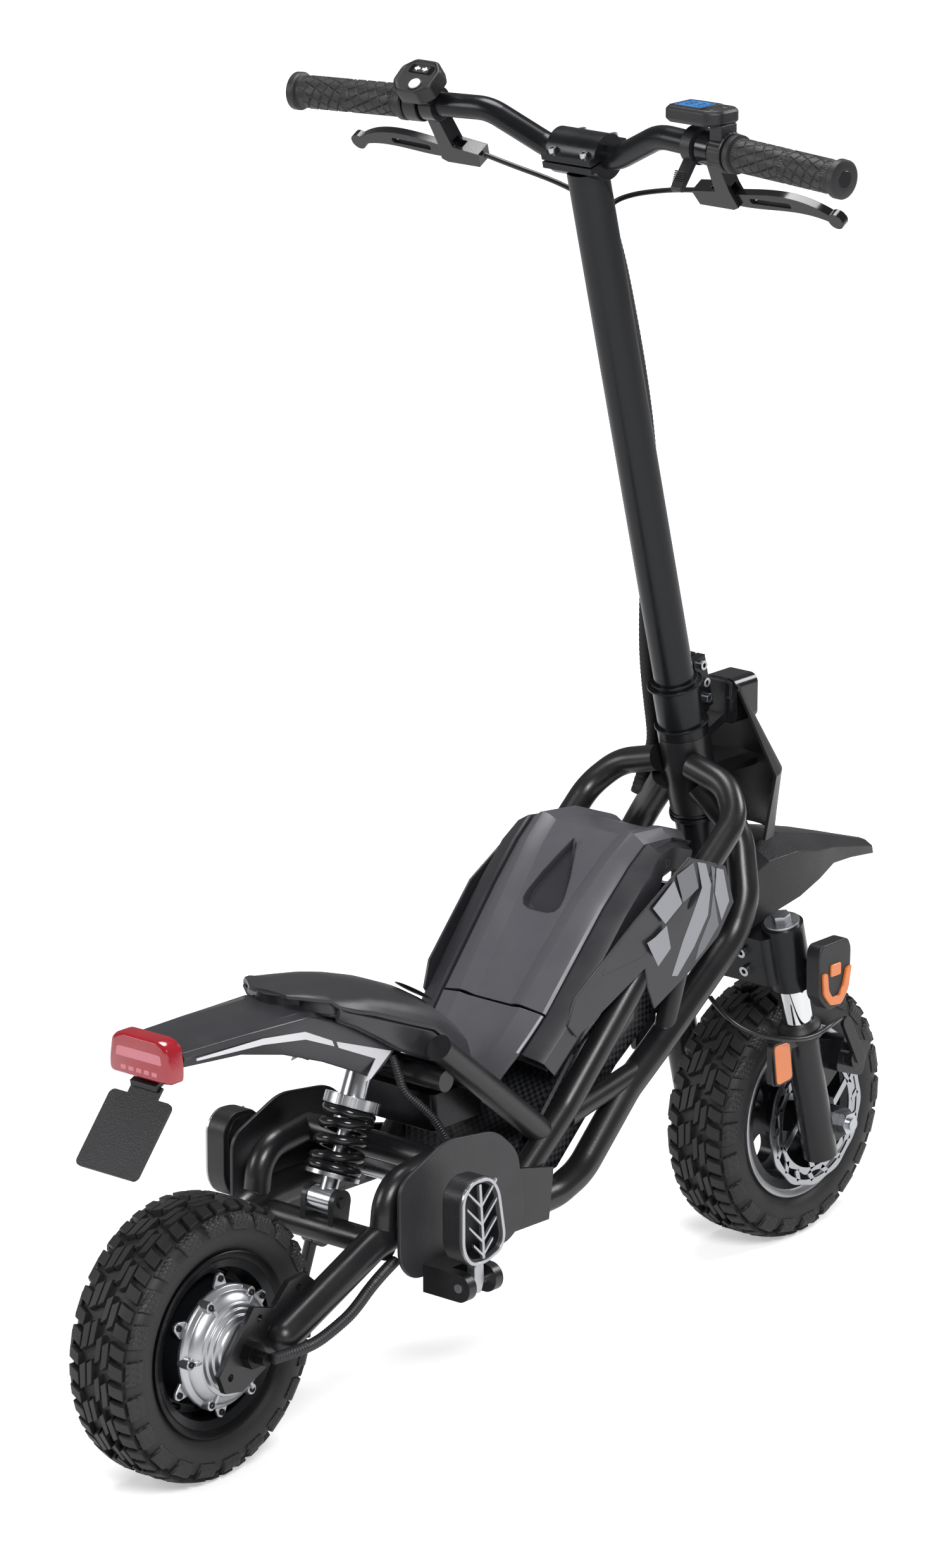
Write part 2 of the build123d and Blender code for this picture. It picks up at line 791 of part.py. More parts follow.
# Steering fasteners: the hexagonal fork caps with washers, the crown's pinch bolts, the
# collar's cross bolts with their nuts, and the bar clamp's four bolts.
cap_radius = 14
bolt_head_radius = 5
bar_clamp_bolt_y = clamp_width / 2 - 10
with BuildPart() as steering_bolts:
    for side in sides.values():
        with BuildSketch(steer_plane(crown_top, leg_offset, side * leg_spacing)):
            Circle(cap_radius + 3)
        extrude(amount=3)
        with BuildSketch(steer_plane(crown_top + 3, leg_offset, side * leg_spacing)):
            RegularPolygon(9, 6)
        extrude(amount=7)
        for up in (crown_top - 22, crown_top - 42):
            with BuildSketch(Plane(
                origin=steer_point(leg_offset - 27, side * 46, up),
                x_dir=(0, 1, 0),
                z_dir=(-rake_cos, 0, -rake_sin),
            )):
                Circle(bolt_head_radius)
                RegularPolygon(2.6, 6, mode=Mode.SUBTRACT)
            extrude(amount=5)
        for reach in (-1, 1):
            with BuildSketch(steer_plane(bar_height + 7, reach * (clamp_radius + 0.5), side * bar_clamp_bolt_y)):
                Circle(3.9)
                RegularPolygon(2, 6, mode=Mode.SUBTRACT)
            extrude(amount=5)
    for up in (1.5, -16.5, -33):
        with BuildSketch(Plane(origin=steer_point(28.5, -lug_half_width, up), z_dir=(0, -1, 0))):
            Circle(4.5)
            RegularPolygon(2.4, 6, mode=Mode.SUBTRACT)
        extrude(amount=4)
        with BuildSketch(Plane(origin=steer_point(28.5, lug_half_width, up), z_dir=(0, 1, 0))):
            RegularPolygon(4.6, 6)
        extrude(amount=4)
steering_bolts.part.label = "steering_bolts"
export_step(steering_bolts.part, "parts/steering_bolts.step")

bar_centre = steer_point(0, 0, bar_height)
bar_centre_x = bar_centre[0]
bar_centre_z = bar_centre[2]
stem_low = -collar_height + 6
with BuildPart() as stem_tube:
    with BuildSketch(steer_plane(stem_low)):
        Circle(stem_radius)
        Circle(stem_radius - stem_wall, mode=Mode.SUBTRACT)
    extrude(amount=bar_height - clamp_radius + 6 - stem_low)
    with BuildSketch(cross_plane(bar_centre_x, clamp_width, bar_centre_z)):
        Circle(clamp_radius)
    extrude(amount=2 * clamp_width, mode=Mode.SUBTRACT)
stem_tube.part.label = "stem_tube"
export_step(stem_tube.part, "parts/stem_tube.step")

# Handlebar: one bent tube.
bar_route = [
    (bar_centre_x - bar_back_sweep - bar_sweep, bar_half_width, bar_centre_z + bar_rise - bar_end_drop),
    (bar_centre_x - bar_sweep, bar_shoulder_y, bar_centre_z + bar_rise),
    (bar_centre_x, bar_knee_y, bar_centre_z),
    (bar_centre_x, 0, bar_centre_z),
]
grip_end = Vector(*bar_route[0])
grip_line = (Vector(*bar_route[1]) - grip_end).normalized()
with BuildPart() as handlebar:
    for side in sides.values():
        route = mirrored_points(bar_route, side)
        with BuildLine() as path:
            FilletPolyline(*route, radius=[46, 36])
        with BuildSketch(start_plane(path.line)):
            Circle(bar_radius)
        sweep()
handlebar.part.label = "handlebar"
export_step(handlebar.part, "parts/handlebar.step")

with BuildPart() as bar_clamp:
    with BuildSketch(cross_plane(bar_centre_x, clamp_width / 2, bar_centre_z)):
        Circle(clamp_radius)
        Circle(bar_radius, mode=Mode.SUBTRACT)
        with Locations(Location((0, 0), steer_rake)):
            Rectangle(2 * clamp_radius + 11, 14)
            Rectangle(2 * clamp_radius + 14, 2, mode=Mode.SUBTRACT)
            Circle(bar_radius, mode=Mode.SUBTRACT)
    extrude(amount=clamp_width)
    add(steering_bolts.part, mode=Mode.SUBTRACT)
bar_clamp.part.label = "bar_clamp"
export_step(bar_clamp.part, "parts/bar_clamp.step")


def bar_plane(along, side):
    """The plane square to a grip, at a distance in from the bar's end."""
    centre = grip_end + grip_line * along
    return Plane(
        origin=(centre.X, centre.Y * side, centre.Z),
        z_dir=(grip_line.X, grip_line.Y * side, grip_line.Z),
    )


with BuildPart() as grips:
    for side in sides.values():
        with BuildSketch(bar_plane(-3, side)):
            Circle(grip_flange_radius)
        extrude(amount=5)
        with BuildSketch(bar_plane(2, side)):
            Circle(grip_radius)
        extrude(amount=grip_length - 6)
        with BuildSketch(bar_plane(grip_length - 6, side)):
            Circle(grip_flange_radius - 1)
        extrude(amount=4)
        with BuildSketch(bar_plane(0, side)):
            Circle(bar_radius)
        extrude(amount=grip_length, mode=Mode.SUBTRACT)
grips.part.label = "grips"
export_step(grips.part, "parts/grips.step")

# Brake levers and their perches.
perch_from_end = 152
perch_width = 14
lever_reach = 54
lever_drop = 59
lever_length = 112
lever_thickness = 8
lever_pin_radius = 3
lever_side_y = 161
lever_dir_x = cos(radians(lever_drop))
lever_dir_z = -sin(radians(lever_drop))
bar_here = grip_end + grip_line * perch_from_end
lever_pivot_x = bar_here.X + lever_reach * lever_dir_x
lever_pivot_z = bar_here.Z + lever_reach * lever_dir_z


def lever_plane(side, offset):
    """The plane that a lever swings in: its X runs outward, its Y away from the bar."""
    return Plane(
        origin=(lever_pivot_x - offset * lever_dir_z, side * lever_side_y, lever_pivot_z + offset * lever_dir_x),
        x_dir=(0, side, 0),
        z_dir=(side * lever_dir_z, 0, -side * lever_dir_x),
    )


with BuildPart() as brake_perches:
    for side in sides.values():
        with BuildSketch(bar_plane(perch_from_end - perch_width / 2, side)):
            Circle(bar_radius + 4.5)
            Circle(bar_radius, mode=Mode.SUBTRACT)
        extrude(amount=perch_width)
        with BuildSketch(lever_plane(side, 0)):
            with BuildLine():
                Polyline(
                    (7, -lever_reach + bar_radius + 3),
                    (7, -12),
                    (10, 6),
                    (4, 9),
                    (-34, 9),
                    (-38, -6),
                    (-10, -10),
                    (-7, -lever_reach + bar_radius + 3),
                    close=True,
                )
            make_face()
        extrude(amount=8, both=True)
        with BuildSketch(lever_plane(side, 0)):
            with Locations((0, 0)):
                Rectangle(36, 30)
        extrude(amount=lever_thickness / 2 + body_gap, both=True, mode=Mode.SUBTRACT)
        with BuildSketch(lever_plane(side, 0)):
            Circle(lever_pin_radius)
        extrude(amount=8, both=True)
brake_perches.part.label = "brake_perches"
export_step(brake_perches.part, "parts/brake_perches.step")

for name, side in sides.items():
    with BuildPart() as brake_lever:
        with BuildSketch(lever_plane(side, 0)):
            with BuildLine():
                Spline((-8, -4), (20, -8), (60, -12), (lever_length, 2))
                Line((lever_length, 2), (lever_length, 10))
                Spline((lever_length, 10), (64, 4), (24, 7), (-8, 5))
                Line((-8, 5), (-8, -4))
            make_face()
            with Locations((0, 0)):
                Circle(7.5)
            with Locations((lever_length + 2, 7)):
                Circle(8)
            with Locations(Location((46, -2), -2)):
                SlotOverall(46, 6, mode=Mode.SUBTRACT)
            with Locations((0, 0)):
                Circle(lever_pin_radius + running_gap, mode=Mode.SUBTRACT)
        extrude(amount=lever_thickness / 2, both=True)
    brake_lever.part.label = f"{name}_brake_lever"
    export_step(brake_lever.part, f"parts/{name}_brake_lever.step")

# High front fender: a beaked shell standing on the crown's bridge.
fender_half_width = 51
fender_outline = [
    (297, 396),
    (330, 410),
    (373, 411),
    (442, 393),
    (531, 364.5),
    (533.5, 351),
    (481, 353),
    (456, 366),
    (436, 362),
    (346, 346),
    (334, 344.2),
    (299, 335.6),
]
fender_taper = [(370, fender_half_width), (535, 17), (545, 17), (545, 80), (300, 80), (300, fender_half_width)]
with BuildPart() as front_fender:
    with BuildSketch(cross_plane(0, fender_half_width, 0)):
        with BuildLine():
            Polyline(*fender_outline, close=True)
        make_face()
    extrude(amount=2 * fender_half_width)
    with BuildSketch(cross_plane(0, fender_half_width - cover_wall, 0)):
        with BuildLine():
            Polyline((290, 392), (330, 407), (373, 408), (442, 390), (478, 379), (468, 340), (290, 320), close=True)
        make_face()
    extrude(amount=2 * (fender_half_width - cover_wall), mode=Mode.SUBTRACT)
    for side in sides.values():
        with BuildSketch(Plane.XY.offset(330)):
            with BuildLine():
                Polyline(*[(x, side * y) for x, y in fender_taper], close=True)
            make_face()
        extrude(amount=90, mode=Mode.SUBTRACT)
    with BuildSketch(steer_plane(bridge_top)):
        Circle(22)
    extrude(amount=head_tube_bottom - bridge_top + 20, mode=Mode.SUBTRACT)
front_fender.part.label = "front_fender"
export_step(front_fender.part, "parts/front_fender.step")

# Turn signals on short stalks, one on each clamp of the crown.
signal_place = steer_point(leg_offset, 0, crown_top - 36)
with BuildPart() as turn_signals:
    for side in sides.values():
        with BuildSketch(cross_plane(signal_place[0], side * (leg_spacing + crown_radius - 0.6), signal_place[2])):
            Circle(5)
        extrude(amount=-side * 11)
        with BuildSketch(cross_plane(0, side * (leg_spacing + crown_radius + 9), 0)):
            with Locations((signal_place[0] + 10, signal_place[2] - 12)):
                RectangleRounded(44, 66, 14)
        extrude(amount=-side * 21)
    add(fork_crown.part, mode=Mode.SUBTRACT)
turn_signals.part.label = "turn_signals"
export_step(turn_signals.part, "parts/turn_signals.step")

# Display on the right of the bar, with its ring and two keys.
ring_from_end = 127.5
ring_width = 15
display_top = 1161
display_thick = 14
display_middle = (86, -152)
display_size = (40, 62)
key_radius = 5
key_pocket = 3.2
key_height = 3.4
key_travel = 1.0
key_places = {"power_button": (76, -172), "mode_button": (94, -172)}
with BuildPart() as display_housing:
    with BuildSketch(bar_plane(ring_from_end, -1)):
        Circle(bar_radius + 6)
        Circle(bar_radius, mode=Mode.SUBTRACT)
    extrude(amount=ring_width)
    with BuildSketch(Plane.XY.offset(display_top - display_thick)):
        with Locations(display_middle):
            RectangleRounded(*display_size, 6)
    extrude(amount=display_thick)
    with BuildSketch(Plane.XY.offset(bar_here.Z + bar_radius + 2)):
        with Locations((88, -175.3)):
            Rectangle(22, 14)
    extrude(amount=display_top - display_thick - bar_here.Z - bar_radius - 2)
    with BuildSketch(Plane.XY.offset(display_top - key_pocket)):
        with Locations(*key_places.values()):
            Circle(key_radius + body_gap)
    extrude(amount=key_pocket, mode=Mode.SUBTRACT)
display_housing.part.label = "display_housing"
export_step(display_housing.part, "parts/display_housing.step")

for name, place in key_places.items():
    with BuildPart() as key:
        with BuildSketch(Plane.XY.offset(display_top - key_pocket + key_travel + 0.2)):
            with Locations(place):
                Circle(key_radius)
        extrude(amount=key_height)
        fillet(key.faces().sort_by(Axis.Z)[-1].edges(), 0.8)
    key.part.label = name
    export_step(key.part, f"parts/{name}.step")

# Thumb throttle: a ring that turns on the bar, with its paddle.
throttle_from_end = 169
throttle_width = 11
paddle_angle = 52
with BuildPart() as throttle:
    with BuildSketch(bar_plane(throttle_from_end - throttle_width / 2, -1)):
        Circle(bar_radius + 6)
        Circle(bar_radius + running_gap, mode=Mode.SUBTRACT)
    extrude(amount=throttle_width)
    throttle_centre = grip_end + grip_line * throttle_from_end
    with BuildSketch(cross_plane(throttle_centre.X, -throttle_centre.Y + throttle_width / 2, throttle_centre.Z)):
        with Locations(Location((0, 0), 180 + paddle_angle)):
            with Locations((bar_radius + 20, 0)):
                RectangleRounded(31, 6, 2.5)
    extrude(amount=throttle_width)
    with BuildSketch(bar_plane(throttle_from_end - throttle_width, -1)):
        Circle(bar_radius + running_gap)
    extrude(amount=2 * throttle_width, mode=Mode.SUBTRACT)
throttle.part.label = "throttle"
export_step(throttle.part, "parts/throttle.step")

# Control pod on the left of the bar: a turn signal switch and a horn button on its face.
pod_tilt = 38
pod_rise = 17
pod_thick = 19
pod_size = (46, 40)
switch_size = (18, 9)
switch_travel = 2.5
pod_normal = (-sin(radians(pod_tilt)), 0, cos(radians(pod_tilt)))
pod_centre = grip_end + grip_line * (perch_from_end - 2)


def pod_plane(up):
    """A plane parallel to the pod's face: its X runs to the rider's right, its Y forward."""
    return Plane(
        origin=(pod_centre.X + pod_normal[0] * up, pod_centre.Y, pod_centre.Z + pod_normal[2] * up),
        x_dir=(0, -1, 0),
        z_dir=pod_normal,
    )


pod_face = pod_rise + pod_thick
switch_place = (1, 8)
horn_place = (4, -9)
with BuildPart() as control_pod:
    with BuildSketch(bar_plane(ring_from_end, 1)):
        Circle(bar_radius + 6)
        Circle(bar_radius, mode=Mode.SUBTRACT)
    extrude(amount=ring_width)
    with BuildSketch(pod_plane(pod_rise)):
        RectangleRounded(*pod_size, 9)
    extrude(amount=pod_thick)
    with BuildSketch(pod_plane(bar_radius + 1)):
        with Locations((-14, 0)):
            Rectangle(14, 22)
    extrude(amount=pod_rise - bar_radius)
    with BuildSketch(bar_plane(ring_from_end - 2, 1)):
        Circle(bar_radius)
    extrude(amount=ring_width + 4, mode=Mode.SUBTRACT)
    with BuildSketch(pod_plane(pod_face)):
        with Locations(switch_place):
            Rectangle(
                switch_size[0] + 2 * switch_travel + 2 * body_gap,
                switch_size[1] + 2 * body_gap,
            )
        with Locations(horn_place):
            Circle(key_radius + 1 + body_gap)
    extrude(amount=-key_pocket, mode=Mode.SUBTRACT)
control_pod.part.label = "control_pod"
export_step(control_pod.part, "parts/control_pod.step")

with BuildPart() as signal_switch:
    with BuildSketch(pod_plane(pod_face - key_pocket + body_gap)):
        with Locations(switch_place):
            RectangleRounded(*switch_size, 2)
    extrude(amount=key_height)
signal_switch.part.label = "signal_switch"
export_step(signal_switch.part, "parts/signal_switch.step")

with BuildPart() as horn_button:
    with BuildSketch(pod_plane(pod_face - key_pocket + key_travel + 0.2)):
        with Locations(horn_place):
            Circle(key_radius + 1)
    extrude(amount=key_height)
horn_button.part.label = "horn_button"
export_step(horn_button.part, "parts/horn_button.step")

# Brake cables from the two perches, and the fabric sleeve that gathers them down the stem.
cable_radius = 2.5
sleeve_radius = 7.5
perch_end_y = lever_side_y - 38
sleeve_top = steer_point(0, 29, 468)
cable_routes = [
    [
        (lever_pivot_x, -perch_end_y, lever_pivot_z),
        (lever_pivot_x + 12, -96, lever_pivot_z - 5),
        (148, -58, 1064),
        (158, -18, 1054),
        (148, 20, 1042),
        (sleeve_top[0] + 1, sleeve_top[1] - 1, sleeve_top[2] + 2),
    ],
    [
        (lever_pivot_x, perch_end_y, lever_pivot_z),
        (lever_pivot_x + 4, 100, lever_pivot_z - 6),
        (126, 64, 1060),
        (sleeve_top[0] - 1, 33, sleeve_top[2]),
    ],
]
with BuildPart() as control_cables:
    for route in cable_routes:
        with BuildLine() as path:
            FilletPolyline(*route, radius=bend_radii(route, share=0.45))
        with BuildSketch(start_plane(path.line)):
            Circle(cable_radius)
        sweep()
    with BuildSketch(steer_plane(12)):
        with Locations((0, 29)):
            Circle(sleeve_radius)
    extrude(amount=456)
control_cables.part.label = "control_cables"
export_step(control_cables.part, "parts/control_cables.step")

# The sleeve's lower end, held by the frame, and the tail's wiring conduit.
conduit_radius = 4
sleeve_route = [(246, 36, 590), (264, 43, 548), (284, 52, 508), (278, 62, 478), (262, 58, 456)]
conduit_route = [(-196, -36.5, 338), (-187, -42, 302), (-160, -56, 272), (-148, -64, 244), (-142, -66, 222)]
with BuildPart() as frame_cables:
    for route, radius in ((sleeve_route, sleeve_radius), (conduit_route, conduit_radius)):
        with BuildLine() as path:
            FilletPolyline(*route, radius=bend_radii(route, share=0.45))
        with BuildSketch(start_plane(path.line)):
            Circle(radius)
        sweep()
    add(main_tubes.part, mode=Mode.SUBTRACT)
frame_cables.part.label = "frame_cables"
export_step(frame_cables.part, "parts/frame_cables.step")

# ================================================================= fork lowers
axle_y = 93
lug_y = 66
lug_width = 18
lower_wall_bottom = lower_bottom + 10
leg_at_axle = steer_point(leg_offset, 0, -481)
reflector_place = (304, 212)
with BuildPart() as fork_lowers:
    for side in sides.values():
        with BuildSketch(steer_plane(lower_bottom, leg_offset, side * leg_spacing)):
            Circle(lower_radius)
        extrude(amount=lower_top - lower_bottom)
        with BuildSketch(steer_plane(lower_top - 9, leg_offset, side * leg_spacing)):
            Circle(lower_flange_radius)
        extrude(amount=9)
        with BuildSketch(cross_plane(0, side * lug_y, 0)):
            with Locations((front_axle_x, tyre_radius)):
                Circle(14)
            with BuildLine():
                Polyline(
                    (front_axle_x, tyre_radius + 14),
                    (leg_at_axle[0] - 4, leg_at_axle[2] + 22),
                    (leg_at_axle[0], leg_at_axle[2] - 14),
                    (front_axle_x, tyre_radius - 14),
                    close=True,
                )
            make_face()
        extrude(amount=-side * lug_width)
        with BuildSketch(steer_plane(lower_wall_bottom, leg_offset, side * leg_spacing)):
            Circle(stanchion_radius + running_gap)
        extrude(amount=lower_top - lower_wall_bottom, mode=Mode.SUBTRACT)
        with BuildSketch(cross_plane(0, side * (leg_spacing + 4), 0)):
            with Locations(reflector_place):
                RectangleRounded(30, 42, 6)
            with Locations((reflector_place[0] + 16, reflector_place[1] + 14)):
                Rectangle(24, 8)
        extrude(amount=-side * 6)
    with BuildSketch(cross_plane(front_axle_x, axle_y, tyre_radius)):
        Circle(axle_radius)
    extrude(amount=2 * axle_y, mode=Mode.SUBTRACT)
    for side in sides.values():
        with BuildSketch(steer_plane(lower_wall_bottom, leg_offset, side * leg_spacing)):
            Circle(stanchion_radius + running_gap)
        extrude(amount=lower_top - lower_wall_bottom, mode=Mode.SUBTRACT)
fork_lowers.part.label = "fork_lowers"
export_step(fork_lowers.part, "parts/fork_lowers.step")

hub_half_width = 44
with BuildPart() as front_axle:
    with BuildSketch(cross_plane(front_axle_x, axle_y + 3, tyre_radius)):
        Circle(axle_radius)
    extrude(amount=2 * axle_y + 6)
    for side in sides.values():
        with BuildSketch(cross_plane(front_axle_x, side * (lug_y + lug_width), tyre_radius)):
            RegularPolygon(11, 6)
        extrude(amount=-side * 8)
        with BuildSketch(cross_plane(front_axle_x, side * (hub_half_width + body_gap), tyre_radius)):
            Circle(axle_radius + 3)
        extrude(amount=-side * (lug_y - hub_half_width - body_gap))
front_axle.part.label = "front_axle"
export_step(front_axle.part, "parts/front_axle.step")

# Brake caliper astride the disc, on an adapter bolted to the right leg.
disc_y = -50
disc_radius = 70
disc_half_thick = 1
caliper_place = (front_axle_x + 21, 187)
with BuildPart() as brake_caliper:
    with BuildSketch(cross_plane(0, -40, 0)):
        with Locations(Location(caliper_place, -20)):
            RectangleRounded(44, 34, 6)
    extrude(amount=38)
    with BuildSketch(cross_plane(front_axle_x, disc_y + 3, tyre_radius)):
        Circle(disc_radius + 3)
    extrude(amount=6, mode=Mode.SUBTRACT)
    with BuildSketch(cross_plane(0, -59, 0)):
        with BuildLine():
            Polyline((352, 205), (372, 212), (404, 206), (416, 172), (400, 160), (362, 168), close=True)
        make_face()
    extrude(amount=7)
    with BuildSketch(cross_plane(caliper_place[0] - 4, -78, caliper_place[1] + 2)):
        Circle(11)
    extrude(amount=10)
    with BuildSketch(cross_plane(0, -86, 0)):
        with Locations(Location((caliper_place[0] - 14, caliper_place[1] + 22), 118)):
            SlotOverall(58, 12)
    extrude(amount=4)
    with BuildSketch(steer_plane(lower_bottom, leg_offset, -leg_spacing)):
        Circle(lower_radius)
    extrude(amount=lower_top - lower_bottom, mode=Mode.SUBTRACT)
brake_caliper.part.label = "brake_caliper"
export_step(brake_caliper.part, "parts/brake_caliper.step")

hose_radius = 2.4
hose_route = [
    (262, -32, 276),
    (258, -52, 262),
    (272, -78, 246),
    (300, -99, 238),
    (336, -99.8, 233),
    (366, -99, 240),
    (394, -86, 234),
]
with BuildPart() as front_brake_hose:
    with BuildLine() as path:
        FilletPolyline(*hose_route, radius=bend_radii(hose_route, share=0.45))
    with BuildSketch(start_plane(path.line)):
        Circle(hose_radius)
    sweep()
    add(brake_caliper.part, mode=Mode.SUBTRACT)
front_brake_hose.part.label = "front_brake_hose"
export_step(front_brake_hose.part, "parts/front_brake_hose.step")

# ================================================================= wheels
bead_y = 31
tyre_outline = [
    (bead_y - body_gap, 80),
    (bead_y - body_gap, 85.5),
    (36, 92),
    (tyre_width / 2, 104),
    (36.5, 116),
    (30, 124),
    (20, tyre_radius),
]
for name, axle_x in (("front_tyre", front_axle_x), ("rear_tyre", rear_axle_x)):
    with BuildPart() as tyre:
        with BuildSketch(Plane.YZ.offset(axle_x)):
            with BuildLine():
                Polyline(
                    *[(y, tyre_radius + r) for y, r in tyre_outline],
                    *[(-y, tyre_radius + r) for y, r in reversed(tyre_outline)],
                    close=True,
                )
            make_face()
            offset(amount=-tyre_wall, mode=Mode.SUBTRACT)
            with Locations((0, tyre_radius + 84)):
                Rectangle(2 * bead_y - 2 * tyre_wall, 12, mode=Mode.SUBTRACT)
        revolve(axis=Axis((axle_x, 0, tyre_radius), (0, 1, 0)))
    tyre.part.label = name
    export_step(tyre.part, f"parts/{name}.step")


def rim_profile(hub_radius, hub_half):
    """Half section of a rim: barrel with flanges, web and hub, in the wheel's YZ plane."""
    return [
        (0, hub_radius - 0.01),
        (hub_half, hub_radius - 0.01),
        (hub_half, hub_radius + 8),
        (8, hub_radius + 12),
        (6, 64),
        (rim_width / 2 - 3, 68),
        (rim_width / 2 + 3, rim_radius),
        (rim_width / 2, rim_radius),
        (bead_y, 79.7),
        (bead_y - 6, 79.7),
        (12, 72),
        (0, 72),
    ]


bearing_radius = 14
bearing_width = 10
spoke_count = 5
with BuildPart() as front_rim:
    with BuildSketch(Plane.YZ.offset(front_axle_x)):
        with BuildLine():
            Polyline(*[(y, tyre_radius + r) for y, r in rim_profile(12, hub_half_width)], close=True)
        make_face()
        mirror(about=Plane.YZ)
    revolve(axis=Axis((front_axle_x, 0, tyre_radius), (0, 1, 0)))
    with BuildSketch(cross_plane(front_axle_x, 20, tyre_radius)):
        with PolarLocations(45, spoke_count, start_angle=18):
            Circle(16)
    extrude(amount=40, mode=Mode.SUBTRACT)
    for side in sides.values():
        with BuildSketch(cross_plane(front_axle_x, side * hub_half_width, tyre_radius)):
            Circle(bearing_radius)
        extrude(amount=side * bearing_width, mode=Mode.SUBTRACT)
    with BuildSketch(cross_plane(front_axle_x, -hub_half_width + 2, tyre_radius)):
        Circle(24)
        Circle(bearing_radius, mode=Mode.SUBTRACT)
    extrude(amount=-disc_y - disc_half_thick - hub_half_width + 2)
front_rim.part.label = "front_rim"
export_step(front_rim.part, "parts/front_rim.step")

with BuildPart() as wheel_bearings:
    for side in sides.values():
        with BuildSketch(cross_plane(front_axle_x, side * hub_half_width, tyre_radius)):
            Circle(bearing_radius)
            Circle(axle_radius + running_gap, mode=Mode.SUBTRACT)
        extrude(amount=side * bearing_width)
wheel_bearings.part.label = "wheel_bearings"
export_step(wheel_bearings.part, "parts/wheel_bearings.step")

slot_count = 12
with BuildPart() as front_disc:
    with BuildSketch(cross_plane(front_axle_x, disc_y + disc_half_thick, tyre_radius)):
        Circle(disc_radius)
        Circle(bearing_radius + 1, mode=Mode.SUBTRACT)
        with PolarLocations(37, 6):
            SlotOverall(20, 12, rotation=60, mode=Mode.SUBTRACT)
        with PolarLocations(60, slot_count):
            SlotOverall(11, 4, rotation=40, mode=Mode.SUBTRACT)
    extrude(amount=2 * disc_half_thick)
front_disc.part.label = "front_disc"
export_step(front_disc.part, "parts/front_disc.step")

# Rear wheel: the rim carries the motor's ring of magnets, and two covers close the motor.
motor_radius = 56
motor_half_width = 34
stator_radius = 48
rim_slots = 12
with BuildPart() as rear_rim:
    with BuildSketch(Plane.YZ.offset(rear_axle_x)):
        with BuildLine():
            Polyline(
                (0, tyre_radius + motor_radius - 5),
                (motor_half_width, tyre_radius + motor_radius - 5),
                (motor_half_width, tyre_radius + motor_radius),
                (8, tyre_radius + motor_radius + 2),
                (8, tyre_radius + 66),
                (rim_width / 2 - 3, tyre_radius + 69),
                (rim_width / 2 + 3, tyre_radius + rim_radius),
                (rim_width / 2, tyre_radius + rim_radius),
                (bead_y, tyre_radius + 79.7),
                (bead_y - 6, tyre_radius + 79.7),
                (12, tyre_radius + 72),
                (0, tyre_radius + 72),
                close=True,
            )
        make_face()
        mirror(about=Plane.YZ)
    revolve(axis=Axis((rear_axle_x, 0, tyre_radius), (0, 1, 0)))
    with BuildSketch(cross_plane(rear_axle_x, 20, tyre_radius)):
        with PolarLocations(motor_radius + 6, rim_slots, start_angle=30):
            SlotOverall(14, 5, rotation=90)
    extrude(amount=40, mode=Mode.SUBTRACT)
rear_rim.part.label = "rear_rim"
export_step(rear_rim.part, "parts/rear_rim.step")

cover_ears = 6
cover_outline = [
    (motor_half_width, axle_radius + 12),
    (motor_half_width, motor_radius),
    (38, motor_radius + 1),
    (46, 48),
    (52, 34),
    (58, 26),
    (58.5, axle_radius + running_gap),
    (54, axle_radius + running_gap),
    (44, 20),
]
with BuildPart() as motor_covers:
    with BuildSketch(Plane.YZ.offset(rear_axle_x)):
        with BuildLine():
            Polyline(*[(y, tyre_radius + r) for y, r in cover_outline], close=True)
        make_face()
        mirror(about=Plane.YZ)
    revolve(axis=Axis((rear_axle_x, 0, tyre_radius), (0, 1, 0)))
    for side in sides.values():
        with BuildSketch(cross_plane(rear_axle_x, side * motor_half_width, tyre_radius)):
            with PolarLocations(motor_radius + 2, cover_ears, start_angle=15):
                RegularPolygon(11, 3)
        extrude(amount=-side * 4)
motor_covers.part.label = "motor_covers"
export_step(motor_covers.part, "parts/motor_covers.step")

